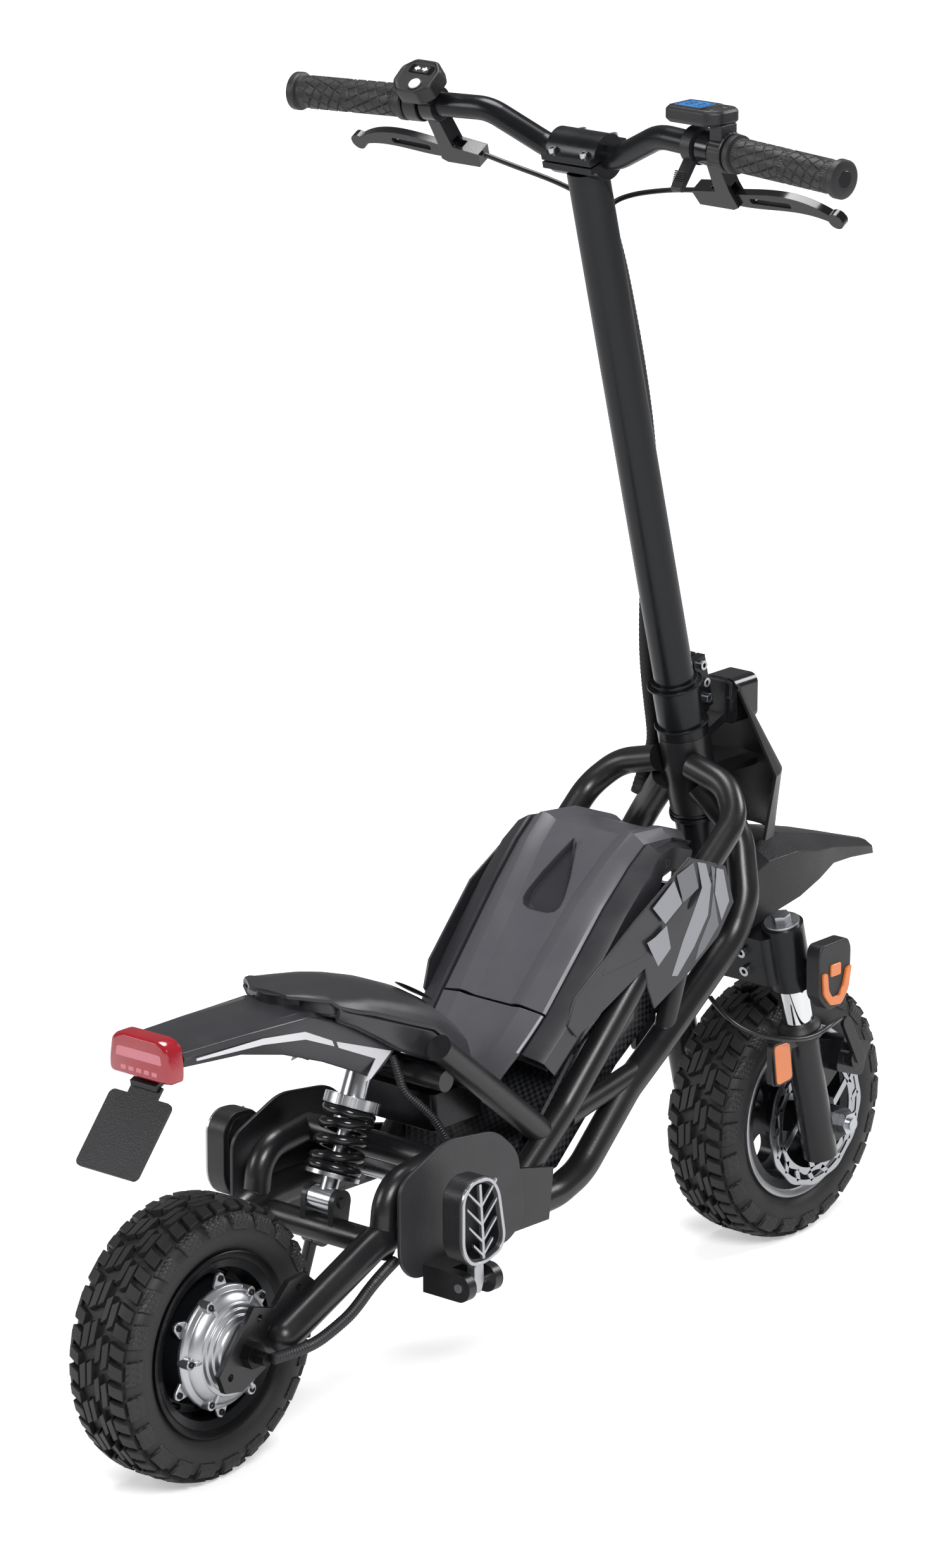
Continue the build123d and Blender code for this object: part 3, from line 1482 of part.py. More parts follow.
# ================================================================= swingarm
side_route = [(-384, 136), (-268, 187), (-240, 193), (pivot_x, pivot_z)]
upper_cross = (-183, 243)
strut_knee = (-247, 236)
strut_foot = (-253, 190)
lower_cross = (-247, 180)
cross_radius = 12.5
dropout_y = 60
dropout_thick = 6
dropout_outline = [
    (-318, 158),
    (-345, 181),
    (-366, 179),
    (-386, 160),
    (-412, 168),
    (-457, 116),
    (-450, 99),
    (-428, 95),
    (-398, 108),
    (-376, 128),
]
shock_length = hypot(shock_upper_x - shock_lower_x, shock_upper_z - shock_lower_z)
shock_dir_x = (shock_upper_x - shock_lower_x) / shock_length
shock_dir_z = (shock_upper_z - shock_lower_z) / shock_length
open_pivot_gap = 0.5
with BuildPart() as swingarm:
    for side in sides.values():
        with BuildLine() as path:
            FilletPolyline(*[(x, side * swingarm_y, z) for x, z in side_route], radius=[60, 60])
        with BuildSketch(start_plane(path.line)):
            Circle(swingarm_tube_radius)
        sweep()
        with Locations((side_route[0][0], side * swingarm_y, side_route[0][1])):
            Sphere(swingarm_tube_radius)
        with BuildLine() as path:
            FilletPolyline(
                (strut_foot[0], side * swingarm_y, strut_foot[1]),
                (strut_knee[0], side * swingarm_y, strut_knee[1]),
                (upper_cross[0], side * swingarm_y, upper_cross[1]),
                radius=30,
            )
        with BuildSketch(start_plane(path.line)):
            Circle(cross_radius)
        sweep()
        with BuildSketch(cross_plane(pivot_x, side * (swingarm_y + swingarm_tube_radius), pivot_z)):
            Circle(17)
        extrude(amount=side * 30)
        with BuildSketch(cross_plane(0, side * dropout_y, 0)):
            with BuildLine():
                Polyline(*dropout_outline, close=True)
            make_face()
            with Locations((rear_axle_x, tyre_radius)):
                Circle(axle_radius, mode=Mode.SUBTRACT)
            with Locations((-354, 170), (-405, 156), (-443, 112)):
                Circle(3.5, mode=Mode.SUBTRACT)
        extrude(amount=-side * dropout_thick)
        with BuildSketch(cross_plane(0, side * (shock_eye_half + body_gap), 0)):
            with Locations((shock_lower_x, shock_lower_z)):
                Circle(12)
            with BuildLine():
                Polyline(
                    (shock_lower_x - 12, shock_lower_z),
                    (shock_lower_x + 12, shock_lower_z),
                    (lower_cross[0] + 10, lower_cross[1]),
                    (lower_cross[0] - 10, lower_cross[1]),
                    close=True,
                )
            make_face()
        extrude(amount=-side * 6)
    for place in (upper_cross, lower_cross):
        with BuildSketch(cross_plane(place[0], swingarm_y, place[1])):
            Circle(cross_radius)
        extrude(amount=2 * swingarm_y)
    with BuildSketch(cross_plane(shock_lower_x, shock_eye_half + 8, shock_lower_z)):
        Circle(shock_pin_radius)
    extrude(amount=2 * (shock_eye_half + 8))
    with BuildSketch(cross_plane(pivot_x, 2 * swingarm_y, pivot_z)):
        Circle(pivot_pin_radius + running_gap)
    extrude(amount=4 * swingarm_y, mode=Mode.SUBTRACT)
swingarm.part.label = "swingarm"
export_step(swingarm.part, "parts/swingarm.step")

# Rear axle with its nuts, carrying the motor's stator, which doesn't turn.
with BuildPart() as rear_axle:
    with BuildSketch(cross_plane(rear_axle_x, 88, tyre_radius)):
        Circle(axle_radius)
    extrude(amount=176)
    for side in sides.values():
        with BuildSketch(cross_plane(rear_axle_x, side * (dropout_y + dropout_thick), tyre_radius)):
            RegularPolygon(12, 6)
        extrude(amount=-side * 10)
    with BuildSketch(cross_plane(rear_axle_x, 22, tyre_radius)):
        Circle(stator_radius)
        with PolarLocations(stator_radius - 2, 18):
            Rectangle(8, 3, mode=Mode.SUBTRACT)
    extrude(amount=44)
rear_axle.part.label = "rear_axle"
export_step(rear_axle.part, "parts/rear_axle.step")

motor_cable_radius = 5.5
motor_cable_route = [(-416, -91, 128), (-366, -97, 130), (-314, -94, 143), (-274, -84, 158), (-240, -76, 164)]
with BuildPart() as motor_conduit:
    with BuildLine() as path:
        FilletPolyline(*motor_cable_route, radius=bend_radii(motor_cable_route, share=0.45))
    with BuildSketch(start_plane(path.line)):
        Circle(motor_cable_radius)
    sweep()
    add(swingarm.part, mode=Mode.SUBTRACT)
    add(rear_axle.part, mode=Mode.SUBTRACT)
motor_conduit.part.label = "motor_conduit"
export_step(motor_conduit.part, "parts/motor_conduit.step")


# ================================================================= shock
def shock_plane(up):
    """A plane square to the shock, at a height up from its lower eye."""
    return Plane(
        origin=(shock_lower_x + shock_dir_x * up, 0, shock_lower_z + shock_dir_z * up),
        x_dir=(0, 1, 0),
        z_dir=(shock_dir_x, 0, shock_dir_z),
    )


collar_low = shock_length - 46
collar_high = shock_length - 36
body_low = shock_length - 66
seat_low = 20
seat_high = 24
with BuildPart() as shock_body:
    with BuildSketch(cross_plane(shock_upper_x, shock_eye_half, shock_upper_z)):
        Circle(10)
    extrude(amount=2 * shock_eye_half)
    with BuildSketch(shock_plane(body_low)):
        Circle(shock_body_radius)
    extrude(amount=shock_length - 6 - body_low)
    with BuildSketch(shock_plane(collar_low)):
        Circle(spring_outer_radius + 0.5)
    extrude(amount=collar_high - collar_low)
    with BuildSketch(cross_plane(shock_upper_x, 2 * shock_eye_half, shock_upper_z)):
        Circle(shock_pin_radius + running_gap)
    extrude(amount=4 * shock_eye_half, mode=Mode.SUBTRACT)
    with BuildSketch(shock_plane(body_low)):
        Circle(shock_rod_radius + running_gap)
    extrude(amount=shock_length - 16 - body_low, mode=Mode.SUBTRACT)
shock_body.part.label = "shock_body"
export_step(shock_body.part, "parts/shock_body.step")

with BuildPart() as shock_shaft:
    with BuildSketch(cross_plane(shock_lower_x, shock_eye_half, shock_lower_z)):
        Circle(11)
    extrude(amount=2 * shock_eye_half)
    with BuildSketch(shock_plane(6)):
        Circle(8)
    extrude(amount=seat_low - 6)
    with BuildSketch(shock_plane(seat_low)):
        Circle(spring_outer_radius + 0.5)
    extrude(amount=seat_high - seat_low)
    with BuildSketch(shock_plane(seat_high)):
        Circle(shock_rod_radius)
    extrude(amount=body_low + 14 - seat_high)
    with BuildSketch(cross_plane(shock_lower_x, 2 * shock_eye_half, shock_lower_z)):
        Circle(shock_pin_radius + open_pivot_gap)
    extrude(amount=4 * shock_eye_half, mode=Mode.SUBTRACT)
shock_shaft.part.label = "shock_shaft"
export_step(shock_shaft.part, "parts/shock_shaft.step")

spring_radius = spring_outer_radius - spring_wire_radius
spring_low = seat_high + spring_wire_radius + 0.1
spring_length = collar_low - spring_wire_radius - 0.1 - spring_low
with BuildPart() as shock_spring:
    with BuildLine() as path:
        Helix(
            spring_length / spring_turns,
            spring_length,
            spring_radius,
            center=(shock_lower_x + shock_dir_x * spring_low, 0, shock_lower_z + shock_dir_z * spring_low),
            direction=(shock_dir_x, 0, shock_dir_z),
        )
    with BuildSketch(start_plane(path.line)):
        Circle(spring_wire_radius)
    sweep(is_frenet=True)
shock_spring.part.label = "shock_spring"
export_step(shock_spring.part, "parts/shock_spring.step")
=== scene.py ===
import math

import bmesh
import bpy
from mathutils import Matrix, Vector


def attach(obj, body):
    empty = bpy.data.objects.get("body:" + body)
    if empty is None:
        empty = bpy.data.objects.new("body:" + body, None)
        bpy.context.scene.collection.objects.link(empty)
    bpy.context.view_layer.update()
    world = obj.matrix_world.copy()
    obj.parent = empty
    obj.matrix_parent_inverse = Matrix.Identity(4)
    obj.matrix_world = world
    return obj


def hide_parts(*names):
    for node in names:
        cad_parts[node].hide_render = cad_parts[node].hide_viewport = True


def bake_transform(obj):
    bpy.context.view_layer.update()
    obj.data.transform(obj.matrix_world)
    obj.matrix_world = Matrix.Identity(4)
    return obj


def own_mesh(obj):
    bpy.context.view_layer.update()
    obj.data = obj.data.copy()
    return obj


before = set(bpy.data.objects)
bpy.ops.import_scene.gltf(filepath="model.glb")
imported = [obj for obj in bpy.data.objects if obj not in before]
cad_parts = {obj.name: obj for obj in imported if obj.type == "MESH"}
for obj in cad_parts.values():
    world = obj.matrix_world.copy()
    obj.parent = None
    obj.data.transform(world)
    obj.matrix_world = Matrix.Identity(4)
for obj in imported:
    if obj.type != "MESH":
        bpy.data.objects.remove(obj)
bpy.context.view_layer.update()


# ---- Floor ----
# A plain pale studio floor. It stays near white to the eye,
# while the scooter's soft shadow still falls on it.
def linear(code, alpha=1.0):
    """Linear colour of an sRGB hex code."""
    parts = [int(code[i : i + 2], 16) / 255 for i in (1, 3, 5)]
    return (*[p / 12.92 if p <= 0.04045 else ((p + 0.055) / 1.055) ** 2.4 for p in parts], alpha)


def add(tree, kind, inputs=None, **settings):
    """Add a node with its settings, and fill its inputs with values or links."""
    node = tree.nodes.new(kind)
    for key, value in settings.items():
        setattr(node, key, value)
    for key, value in (inputs or {}).items():
        if isinstance(value, bpy.types.NodeSocket):
            tree.links.new(value, node.inputs[key])
        else:
            node.inputs[key].default_value = value
    return node


floor_shade = bpy.data.materials.new("pale_studio_floor")
floor_shade.use_nodes = True
tree = floor_shade.node_tree
tree.nodes.clear()
rays = add(tree, "ShaderNodeLightPath")
matt = add(tree, "ShaderNodeBsdfDiffuse", {"Color": linear("#F4F4F4")})
place = add(tree, "ShaderNodeTexCoord").outputs["Object"]
away = add(tree, "ShaderNodeVectorMath", {0: place}, operation="LENGTH")
fade = add(tree, "ShaderNodeMapRange", {0: away.outputs["Value"], 1: 0.9, 2: 2.6, 3: 0.42, 4: 1.0})
glow = add(tree, "ShaderNodeEmission", {"Color": (1, 1, 1, 1), "Strength": fade.outputs[0]})
both = add(tree, "ShaderNodeAddShader", {0: matt.outputs[0], 1: glow.outputs[0]})
pale = add(
    tree, "ShaderNodeMixShader", {0: rays.outputs["Is Camera Ray"], 1: matt.outputs[0], 2: both.outputs[0]},
)
add(tree, "ShaderNodeOutputMaterial", {"Surface": pale.outputs[0]})
bm = bmesh.new()
bmesh.ops.create_circle(bm, cap_ends=True, segments=96, radius=9)
floor_mesh = bpy.data.meshes.new("floor")
bm.to_mesh(floor_mesh)
bm.free()
floor = bpy.data.objects.new("floor", floor_mesh)
bpy.context.scene.collection.objects.link(floor)
floor.data.materials.append(floor_shade)

# ---- Light and camera ----
# Four round soft lamps and a pale room. The camera stands at the rider's rear right,
# a little above the bar, with a long lens.
for name, place, size, power in (
    ("key", (-2.6, -3.2, 3.4), 2.0, 195),
    ("side", (-3.4, 2.6, 2.2), 1.8, 60),
    ("front", (3.6, -1.6, 2.8), 1.8, 90),
    ("top", (0.4, 0.6, 3.6), 1.6, 80),
):
    lamp = bpy.data.lights.new(name, "AREA")
    lamp.shape = "DISK"
    lamp.size = size
    lamp.energy = power
    holder = bpy.data.objects.new(name, lamp)
    holder.location = place
    holder.rotation_euler = (Vector((0, 0, 0.5)) - Vector(place)).to_track_quat("-Z", "Y").to_euler()
    bpy.context.scene.collection.objects.link(holder)

room = bpy.data.worlds.new("pale_room")
room.use_nodes = True
tree = room.node_tree
tree.nodes.clear()
rays = add(tree, "ShaderNodeLightPath")
seen = add(
    tree, "ShaderNodeMath", {0: rays.outputs["Is Camera Ray"], 1: rays.outputs["Is Transmission Ray"]},
    operation="MAXIMUM",
)
dim = add(tree, "ShaderNodeBackground", {"Color": linear("#FFFFFF"), "Strength": 0.17})
white = add(tree, "ShaderNodeBackground", {"Color": (1, 1, 1, 1), "Strength": 1.0})
mix = add(tree, "ShaderNodeMixShader", {0: seen.outputs[0], 1: dim.outputs[0], 2: white.outputs[0]})
add(tree, "ShaderNodeOutputWorld", {"Surface": mix.outputs[0]})
bpy.context.scene.world = room

lens = bpy.data.cameras.new("camera")
lens.lens = 162.5
lens.clip_end = 60
camera = bpy.data.objects.new("camera", lens)
camera.location = (-4.6713, -3.9396, 2.3311)
camera_dip, camera_heading = 16.37, 40.43
camera.rotation_euler = (math.radians(90 - camera_dip), 0, math.radians(camera_heading - 90))
bpy.context.scene.collection.objects.link(camera)
bpy.context.scene.camera = camera
bpy.context.scene.view_settings.view_transform = "Standard"


# ---- Frame tubes ----
# Bent steel tubes, welded and powder coated in satin black: fine orange peel in the coat,
# and corners that catch a thin line of light.
def finish(name, code, roughness, metallic=0.0, grain=0.4, depth=0.15, shade=0.12, edge=0.0, **sockets):
    """A surface with a fine grain (mm), a bump (its strength) and a mottled shade.

    Edge is the radius in mm of the rounding that its sharp corners show.
    """
    made = bpy.data.materials.new(name)
    made.use_nodes = True
    tree = made.node_tree
    tree.nodes.clear()
    place = add(tree, "ShaderNodeTexCoord").outputs["Object"]
    fine = add(tree, "ShaderNodeTexNoise", {"Vector": place, "Scale": 1000 / grain / 2, "Detail": 3.0})
    broad = add(tree, "ShaderNodeTexNoise", {"Vector": place, "Scale": 28.0, "Detail": 4.0})
    colour = linear(code)
    darker = (*[c * (1 - shade) for c in colour[:3]], 1)
    lighter = (*[min(1, c * (1 + shade)) for c in colour[:3]], 1)
    tint = add(tree, "ShaderNodeMix", {0: broad.outputs[0], 6: darker, 7: lighter}, data_type="RGBA")
    rough = add(
        tree,
        "ShaderNodeMapRange",
        {0: broad.outputs[0], 1: 0.3, 2: 0.7, 3: max(0.02, roughness - 0.05), 4: min(1, roughness + 0.05)},
    )
    bump = add(
        tree, "ShaderNodeBump", {"Height": fine.outputs[0], "Strength": depth, "Distance": grain / 1000},
    )
    if edge:
        rounded = add(tree, "ShaderNodeBevel", {"Radius": edge / 1000}, samples=4)
        tree.links.new(rounded.outputs[0], bump.inputs["Normal"])
    shader = add(
        tree,
        "ShaderNodeBsdfPrincipled",
        {
            "Base Color": tint.outputs[2],
            "Roughness": rough.outputs[0],
            "Metallic": metallic,
            "Normal": bump.outputs[0],
            **sockets,
        },
    )
    add(tree, "ShaderNodeOutputMaterial", {"Surface": shader.outputs[0]})
    return made


def clad(made, *names):
    """Give CAD nodes a finish."""
    for name in names:
        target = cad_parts[name]
        target.data.materials.clear()
        target.data.materials.append(made)


powder_coat = finish("satin_black_powder_coat", "#19191B", 0.32, grain=0.8, depth=0.10, edge=0.6)
clad(powder_coat, "head_tube", "upper_tubes", "main_tubes", "rear_subframe", "frame_brackets")
clad(powder_coat, "swingarm", "kickstand")

# ---- Fork, stem and bar ----
# Machined alloy with a fine bead blast under black anodising: smoother and a little
# bluer than the frame's coat, with crisp, faintly lit edges.
anodised = finish("black_anodised_alloy", "#1D1E21", 0.28, metallic=0.55, grain=0.3, depth=0.08, edge=0.7)
clad(anodised, "fork_crown", "stem_collar", "stem_tube", "handlebar", "bar_clamp")
clad(anodised, "front_rim", "rear_rim", "motor_controller")

# ---- Bright parts ----
# Hard-chromed stanchions, zinc-plated bolts and pins, and the shock in turned alloy: bare
# metals, told apart by how sharp their reflections are.
chrome = finish("hard_chrome", "#D9DADC", 0.07, metallic=1.0, grain=0.5, depth=0.01, shade=0.03)
zinc = finish("zinc_plated_steel", "#B9BBBF", 0.28, metallic=1.0, grain=0.3, depth=0.06, edge=0.4)
turned = finish("turned_alloy", "#C9CBCF", 0.24, metallic=1.0, grain=0.25, depth=0.05, edge=0.5)
clad(chrome, "stanchions")
clad(zinc, "steering_bolts", "front_axle", "wheel_bearings", "frame_pins", "headset_bearings")
clad(turned, "shock_body", "shock_shaft")

# ---- Tyres ----
# Moulded rubber, 255 mm across: a rounded casing with skewed centre blocks, a row of
# blocks beside them and hatched lugs that wrap down over the shoulder.
def piece(name, bm, made, body, slot, *hides, rounded=0.0, steps=2, angle=35):
    """Turn a bmesh in millimetres into a finished piece; it rides on its body, if it has one."""
    bmesh.ops.scale(bm, vec=(0.001, 0.001, 0.001), verts=bm.verts)
    bmesh.ops.remove_doubles(bm, verts=bm.verts, dist=1e-6)
    bmesh.ops.recalc_face_normals(bm, faces=bm.faces)
    mesh = bpy.data.meshes.new(name)
    bm.to_mesh(mesh)
    bm.free()
    made_piece = bpy.data.objects.new(name, mesh)
    bpy.context.scene.collection.objects.link(made_piece)
    mesh.materials.append(made)
    mesh.shade_smooth()
    mesh.set_sharp_from_angle(angle=math.radians(angle))
    if rounded:
        edges = made_piece.modifiers.new("rounded edges", "BEVEL")
        edges.width = rounded / 1000
        edges.segments = steps
        edges.limit_method = "ANGLE"
        edges.angle_limit = math.radians(angle)
        edges.harden_normals = True
    if body:
        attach(made_piece, body)
    if hides:
        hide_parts(*hides)
    return made_piece


def skin(bm, rings, loop=True, caps=True, ends_meet=False):
    """Faces between rings of points; caps close the first and last ring."""
    rows = [[bm.verts.new(p) for p in ring] for ring in rings]
    count = len(rows[0])
    pairs = list(zip(rows, rows[1:]))
    if ends_meet:
        pairs.append((rows[-1], rows[0]))
    for one, two in pairs:
        for i in range(count if loop else count - 1):
            j = (i + 1) % count
            bm.faces.new((one[i], one[j], two[j], two[i]))
    if caps and loop and not ends_meet:
        bm.faces.new(rows[0])
        bm.faces.new(rows[-1][::-1])


def lathe(bm, profile, centre, turns=96, closed=True):
    """Turn (y, r) points round an axle; closed joins the last point to the first."""
    rings = []
    for i in range(turns):
        a = 2 * math.pi * i / turns
        rings.append(
            [(centre[0] + r * math.cos(a), centre[1] + y, centre[2] + r * math.sin(a)) for y, r in profile],
        )
    skin(bm, rings, loop=closed, ends_meet=True)


def repeated(bm, count, centre, made, axis=(0, 1, 0), start=0.0):
    """Repeat a mesh round an axis through a centre (mm), as one plain bmesh in mm."""
    source = bpy.data.meshes.new("one")
    bmesh.ops.translate(bm, vec=[-c for c in centre], verts=bm.verts)
    bm.to_mesh(source)
    bm.free()
    holder = bpy.data.objects.new("one", source)
    bpy.context.scene.collection.objects.link(holder)
    group = bpy.data.node_groups.new("repeat round an axis", "GeometryNodeTree")
    group.interface.new_socket("Geometry", in_out="INPUT", socket_type="NodeSocketGeometry")
    copies = group.interface.new_socket("Copies", in_out="INPUT", socket_type="NodeSocketInt")
    step = group.interface.new_socket("Step", in_out="INPUT", socket_type="NodeSocketVector")
    first = group.interface.new_socket("First", in_out="INPUT", socket_type="NodeSocketVector")
    group.interface.new_socket("Geometry", in_out="OUTPUT", socket_type="NodeSocketGeometry")
    entry = add(group, "NodeGroupInput")
    points = add(group, "GeometryNodeMeshLine", {"Count": entry.outputs["Copies"], "Offset": (0, 0, 0)})
    index = add(group, "GeometryNodeInputIndex")
    turn = add(
        group, "ShaderNodeVectorMath", {0: entry.outputs["Step"], "Scale": index.outputs[0]},
        operation="SCALE",
    )
    total = add(
        group, "ShaderNodeVectorMath", {0: turn.outputs[0], 1: entry.outputs["First"]}, operation="ADD",
    )
    placed = add(
        group,
        "GeometryNodeInstanceOnPoints",
        {"Points": points.outputs[0], "Instance": entry.outputs["Geometry"], "Rotation": total.outputs[0]},
    )
    real = add(group, "GeometryNodeRealizeInstances", {0: placed.outputs[0]})
    coated = add(group, "GeometryNodeSetMaterial", {"Geometry": real.outputs[0], "Material": made})
    add(group, "NodeGroupOutput", {0: coated.outputs[0]})
    modifier = holder.modifiers.new("repeat", "NODES")
    modifier.node_group = group
    modifier[copies.identifier] = count
    modifier[step.identifier] = [a * 2 * math.pi / count for a in axis]
    modifier[first.identifier] = [a * start for a in axis]
    graph = bpy.context.evaluated_depsgraph_get()
    whole = bpy.data.meshes.new_from_object(holder.evaluated_get(graph))
    bpy.data.objects.remove(holder)
    result = bmesh.new()
    result.from_mesh(whole)
    bmesh.ops.translate(result, vec=centre, verts=result.verts)
    return result


def tread_block(bm, path, start, end, rise, skew=0.0, draft=0.6):
    """A block that stands on (y, r) path points between two angles in degrees."""
    rings = []
    for k, (y, r, out) in enumerate(path):
        lean = skew * k / max(1, len(path) - 1)
        ring = []
        for angle, lift in ((start, 0), (end, 0), (end - draft, 1), (start + draft, 1)):
            a = math.radians(angle + lean)
            high = r + lift * rise * out[1]
            ring.append((high * math.cos(a), y + lift * rise * out[0], high * math.sin(a)))
        rings.append(ring)
    skin(bm, rings)


tyre_rubber = finish("moulded_tyre_rubber", "#1B1B1D", 0.56, grain=0.7, depth=0.25, shade=0.2)
hatched = finish("hatched_tyre_rubber", "#1F1F21", 0.52, grain=0.7, depth=0.2, shade=0.15)
tree = hatched.node_tree
shader = next(n for n in tree.nodes if n.type == "BSDF_PRINCIPLED")
place = next(n for n in tree.nodes if n.type == "TEX_COORD").outputs["Object"]
first = add(tree, "ShaderNodeTexWave", {"Vector": place, "Scale": 95.0}, bands_direction="DIAGONAL")
flip = add(tree, "ShaderNodeMapping", {"Vector": place, "Scale": (-1, 1, 1)})
second = add(
    tree, "ShaderNodeTexWave", {"Vector": flip.outputs[0], "Scale": 95.0}, bands_direction="DIAGONAL",
)
lower = add(tree, "ShaderNodeMath", {0: first.outputs[1], 1: second.outputs[1]}, operation="MINIMUM")
cross = add(
    tree,
    "ShaderNodeBump",
    {
        "Height": lower.outputs[0], "Strength": 0.7, "Distance": 0.0008,
        "Normal": shader.inputs["Normal"].links[0].from_socket,
    },
)
tree.links.new(cross.outputs[0], shader.inputs["Normal"])

wheels = (("front", 402), ("rear", -420))
axle_height = 127.5
casing = [
    (30.7, 80.2), (31, 86), (34.5, 89), (37.2, 94), (38, 101), (37, 109), (33.5, 115), (28, 118),
    (20, 120.2), (10, 120.8),
]
lining = [(24.7, 80.2), (25, 87), (31, 96), (31.5, 106), (27, 113), (10, 116.5)]
loop = casing + [(-y, r) for y, r in reversed(casing)] + [(-y, r) for y, r in lining] + list(reversed(lining))
tread_sets = 22
pitch = 360 / tread_sets
block_rise, lug_rise = 6.9, 3.4
for name, x in wheels:
    centre = (x, 0, axle_height)
    body = f"{name}_wheel"
    bm = bmesh.new()
    lathe(bm, loop, centre, turns=120)
    piece(f"{name}_tyre_casing", bm, tyre_rubber, body, "tyre", f"{name}_tyre", angle=50)
    blocks, lugs = bmesh.new(), bmesh.new()
    for side in (-1, 1):
        late = pitch / 2 if side > 0 else 0
        for inner, outer, begin, end in ((1.4, 7.2, 0.8, 11.6), (8.8, 15.6, 2.4, 13.6)):
            path = [(side * y, 120.4, (0, 1)) for y in (inner, outer)]
            tread_block(blocks, path, late + begin, late + end, block_rise, skew=side * 2.2)
        path = [
            (side * 17.4, 119.8, (0, 1)), (side * 22, 119, (side * 0.15, 1)),
            (side * 28.6, 117, (side * 0.35, 0.94)),
        ]
        for begin, end in ((0.4, 6.4), (8.2, 14.6)):
            tread_block(blocks, path, late + begin, late + end, block_rise, skew=-side * 2.2)
        shoulder = (
            (30, 117, 0.45, 0.9), (33.4, 115.8, 0.75, 0.65), (36.4, 110, 0.9, 0.3), (37.4, 105, 0.4, 0.05),
        )
        path = [(side * y, r, (side * out, up)) for y, r, out, up in shoulder]
        tread_block(lugs, path, late + 8, late + 19.4, lug_rise, skew=side * 1.6)
    for part, bm, made in (("blocks", blocks, tyre_rubber), ("lugs", lugs, hatched)):
        bmesh.ops.translate(bm, vec=centre, verts=bm.verts)
        bm = repeated(bm, tread_sets, centre, made)
        piece(f"{name}_tyre_{part}", bm, made, body, "tyre", rounded=0.5, steps=1)
# ---- Hub motor covers ----
# Turned and polished alloy domes over the motor: three steps, six screw posts with short
# ribs, and six three-cornered ears screwed to the rim.
polished = finish(
    "turned_polished_alloy", "#B4B5B9", 0.33, metallic=0.92, grain=0.3, depth=0.03, shade=0.04, edge=0.5,
)
black_screw = finish("black_oxide_screw", "#1F1F20", 0.35, metallic=0.8, grain=0.3, depth=0.05, edge=0.3)


def circle(radius, sides=48, u=0.0, v=0.0):
    """Points of a circle in a plane, round (u, v)."""
    turns = [2 * math.pi * k / sides for k in range(sides)]
    return [(u + radius * math.cos(a), v + radius * math.sin(a)) for a in turns]


def slab(bm, outline, y_from, y_to, hole=None):
    """A flat part in the XZ plane between two y values; a hole has as many points."""
    outer = [[(x, y, z) for x, z in outline] for y in (y_from, y_to)]
    if hole is None:
        skin(bm, outer)
        return
    inner = [[(x, y, z) for x, z in hole] for y in (y_to, y_from)]
    skin(bm, [*outer, *inner], ends_meet=True)


clad(black_screw, "rear_axle")
hub = (-420, 0, axle_height)
post_circle, ear_circle, posts_round = 52, 62, 6
ear_turn = math.radians(30)
dome = [
    (34, 20), (34, 56), (36.5, 56.5), (38.5, 55.4), (41, 51), (42.5, 50.4), (46, 48), (49, 42.5),
    (50.2, 41.8), (50.6, 38), (52.4, 37.2), (53.4, 33), (55.4, 32.2), (56.4, 28), (58.2, 26.6),
    (58.5, 25.4), (58.5, 7.5), (50, 7.5), (40, 20),
]
domes, posts, ears, screws = [bmesh.new() for _ in range(4)]
rib = [(38.5, -2.4), (50.1, -1.68), (50.1, 1.68), (38.5, 2.4)]
ear = [(53, -9.5), (53, 9.5), (65.5, 4.2), (67.6, 0), (65.5, -4.2)]
post_place = (hub[0] + post_circle, hub[2])
ear_place = (hub[0] + ear_circle * math.cos(ear_turn), hub[2] + ear_circle * math.sin(ear_turn))
for side in (-1, 1):
    lathe(domes, [(side * y, r) for y, r in dome], hub, turns=96)
    slab(posts, circle(5.2, 24, *post_place), side * 34, side * 46.5)
    skin(posts, [[(hub[0] + r, side * y, hub[2] + w) for y, w in rib] for r in (41.5, 49.5)])
    slab(ears, [(hub[0] + u, hub[2] + v) for u, v in ear], side * 30.5, side * 34)
    for place, low, high in ((post_place, 46.4, 47.6), (ear_place, 33.8, 35.6)):
        slab(screws, circle(3, 18, *place), side * low, side * high, hole=circle(1.3, 18, *place))
piece("motor_domes", domes, polished, "rear_wheel", "alloy", "motor_covers", rounded=0.5, angle=30)
posts = repeated(posts, posts_round, hub, polished)
piece("motor_posts", posts, polished, "rear_wheel", "alloy", rounded=0.7)
ears = repeated(ears, posts_round, hub, polished, start=ear_turn)
piece("motor_ears", ears, polished, "rear_wheel", "alloy", rounded=1.2, steps=3)
screws = repeated(screws, posts_round, hub, black_screw)
piece("motor_screws", screws, black_screw, "rear_wheel", "steel", rounded=0.3, steps=1)

# ---- Tank cover ----
# Injection-moulded ABS in graphite grey: a raised centre panel with two ridges and a
# teardrop recess, darker shoulders beside it, and open seams between the panels.
graphite = finish("satin_graphite_abs", "#505055", 0.3, grain=0.5, depth=0.06, shade=0.05, edge=0.5)
graphite_dark = finish("dark_graphite_abs", "#2C2C30", 0.32, grain=0.5, depth=0.08, shade=0.06, edge=0.5)
grained = finish("grained_black_abs", "#1B1B1E", 0.42, grain=0.9, depth=0.25, shade=0.1, edge=0.6)
spine = [(-50, 309), (-19, 340), (56, 422), (92, 456), (118, 474), (162, 470), (203, 455)]
creases = [30, 36, 43, 49, 52, 50, 40]
seams = [56, 60, 63, 65, 66, 62, 52]
shoulders = [80, 84, 86, 87, 84, 70, 60]


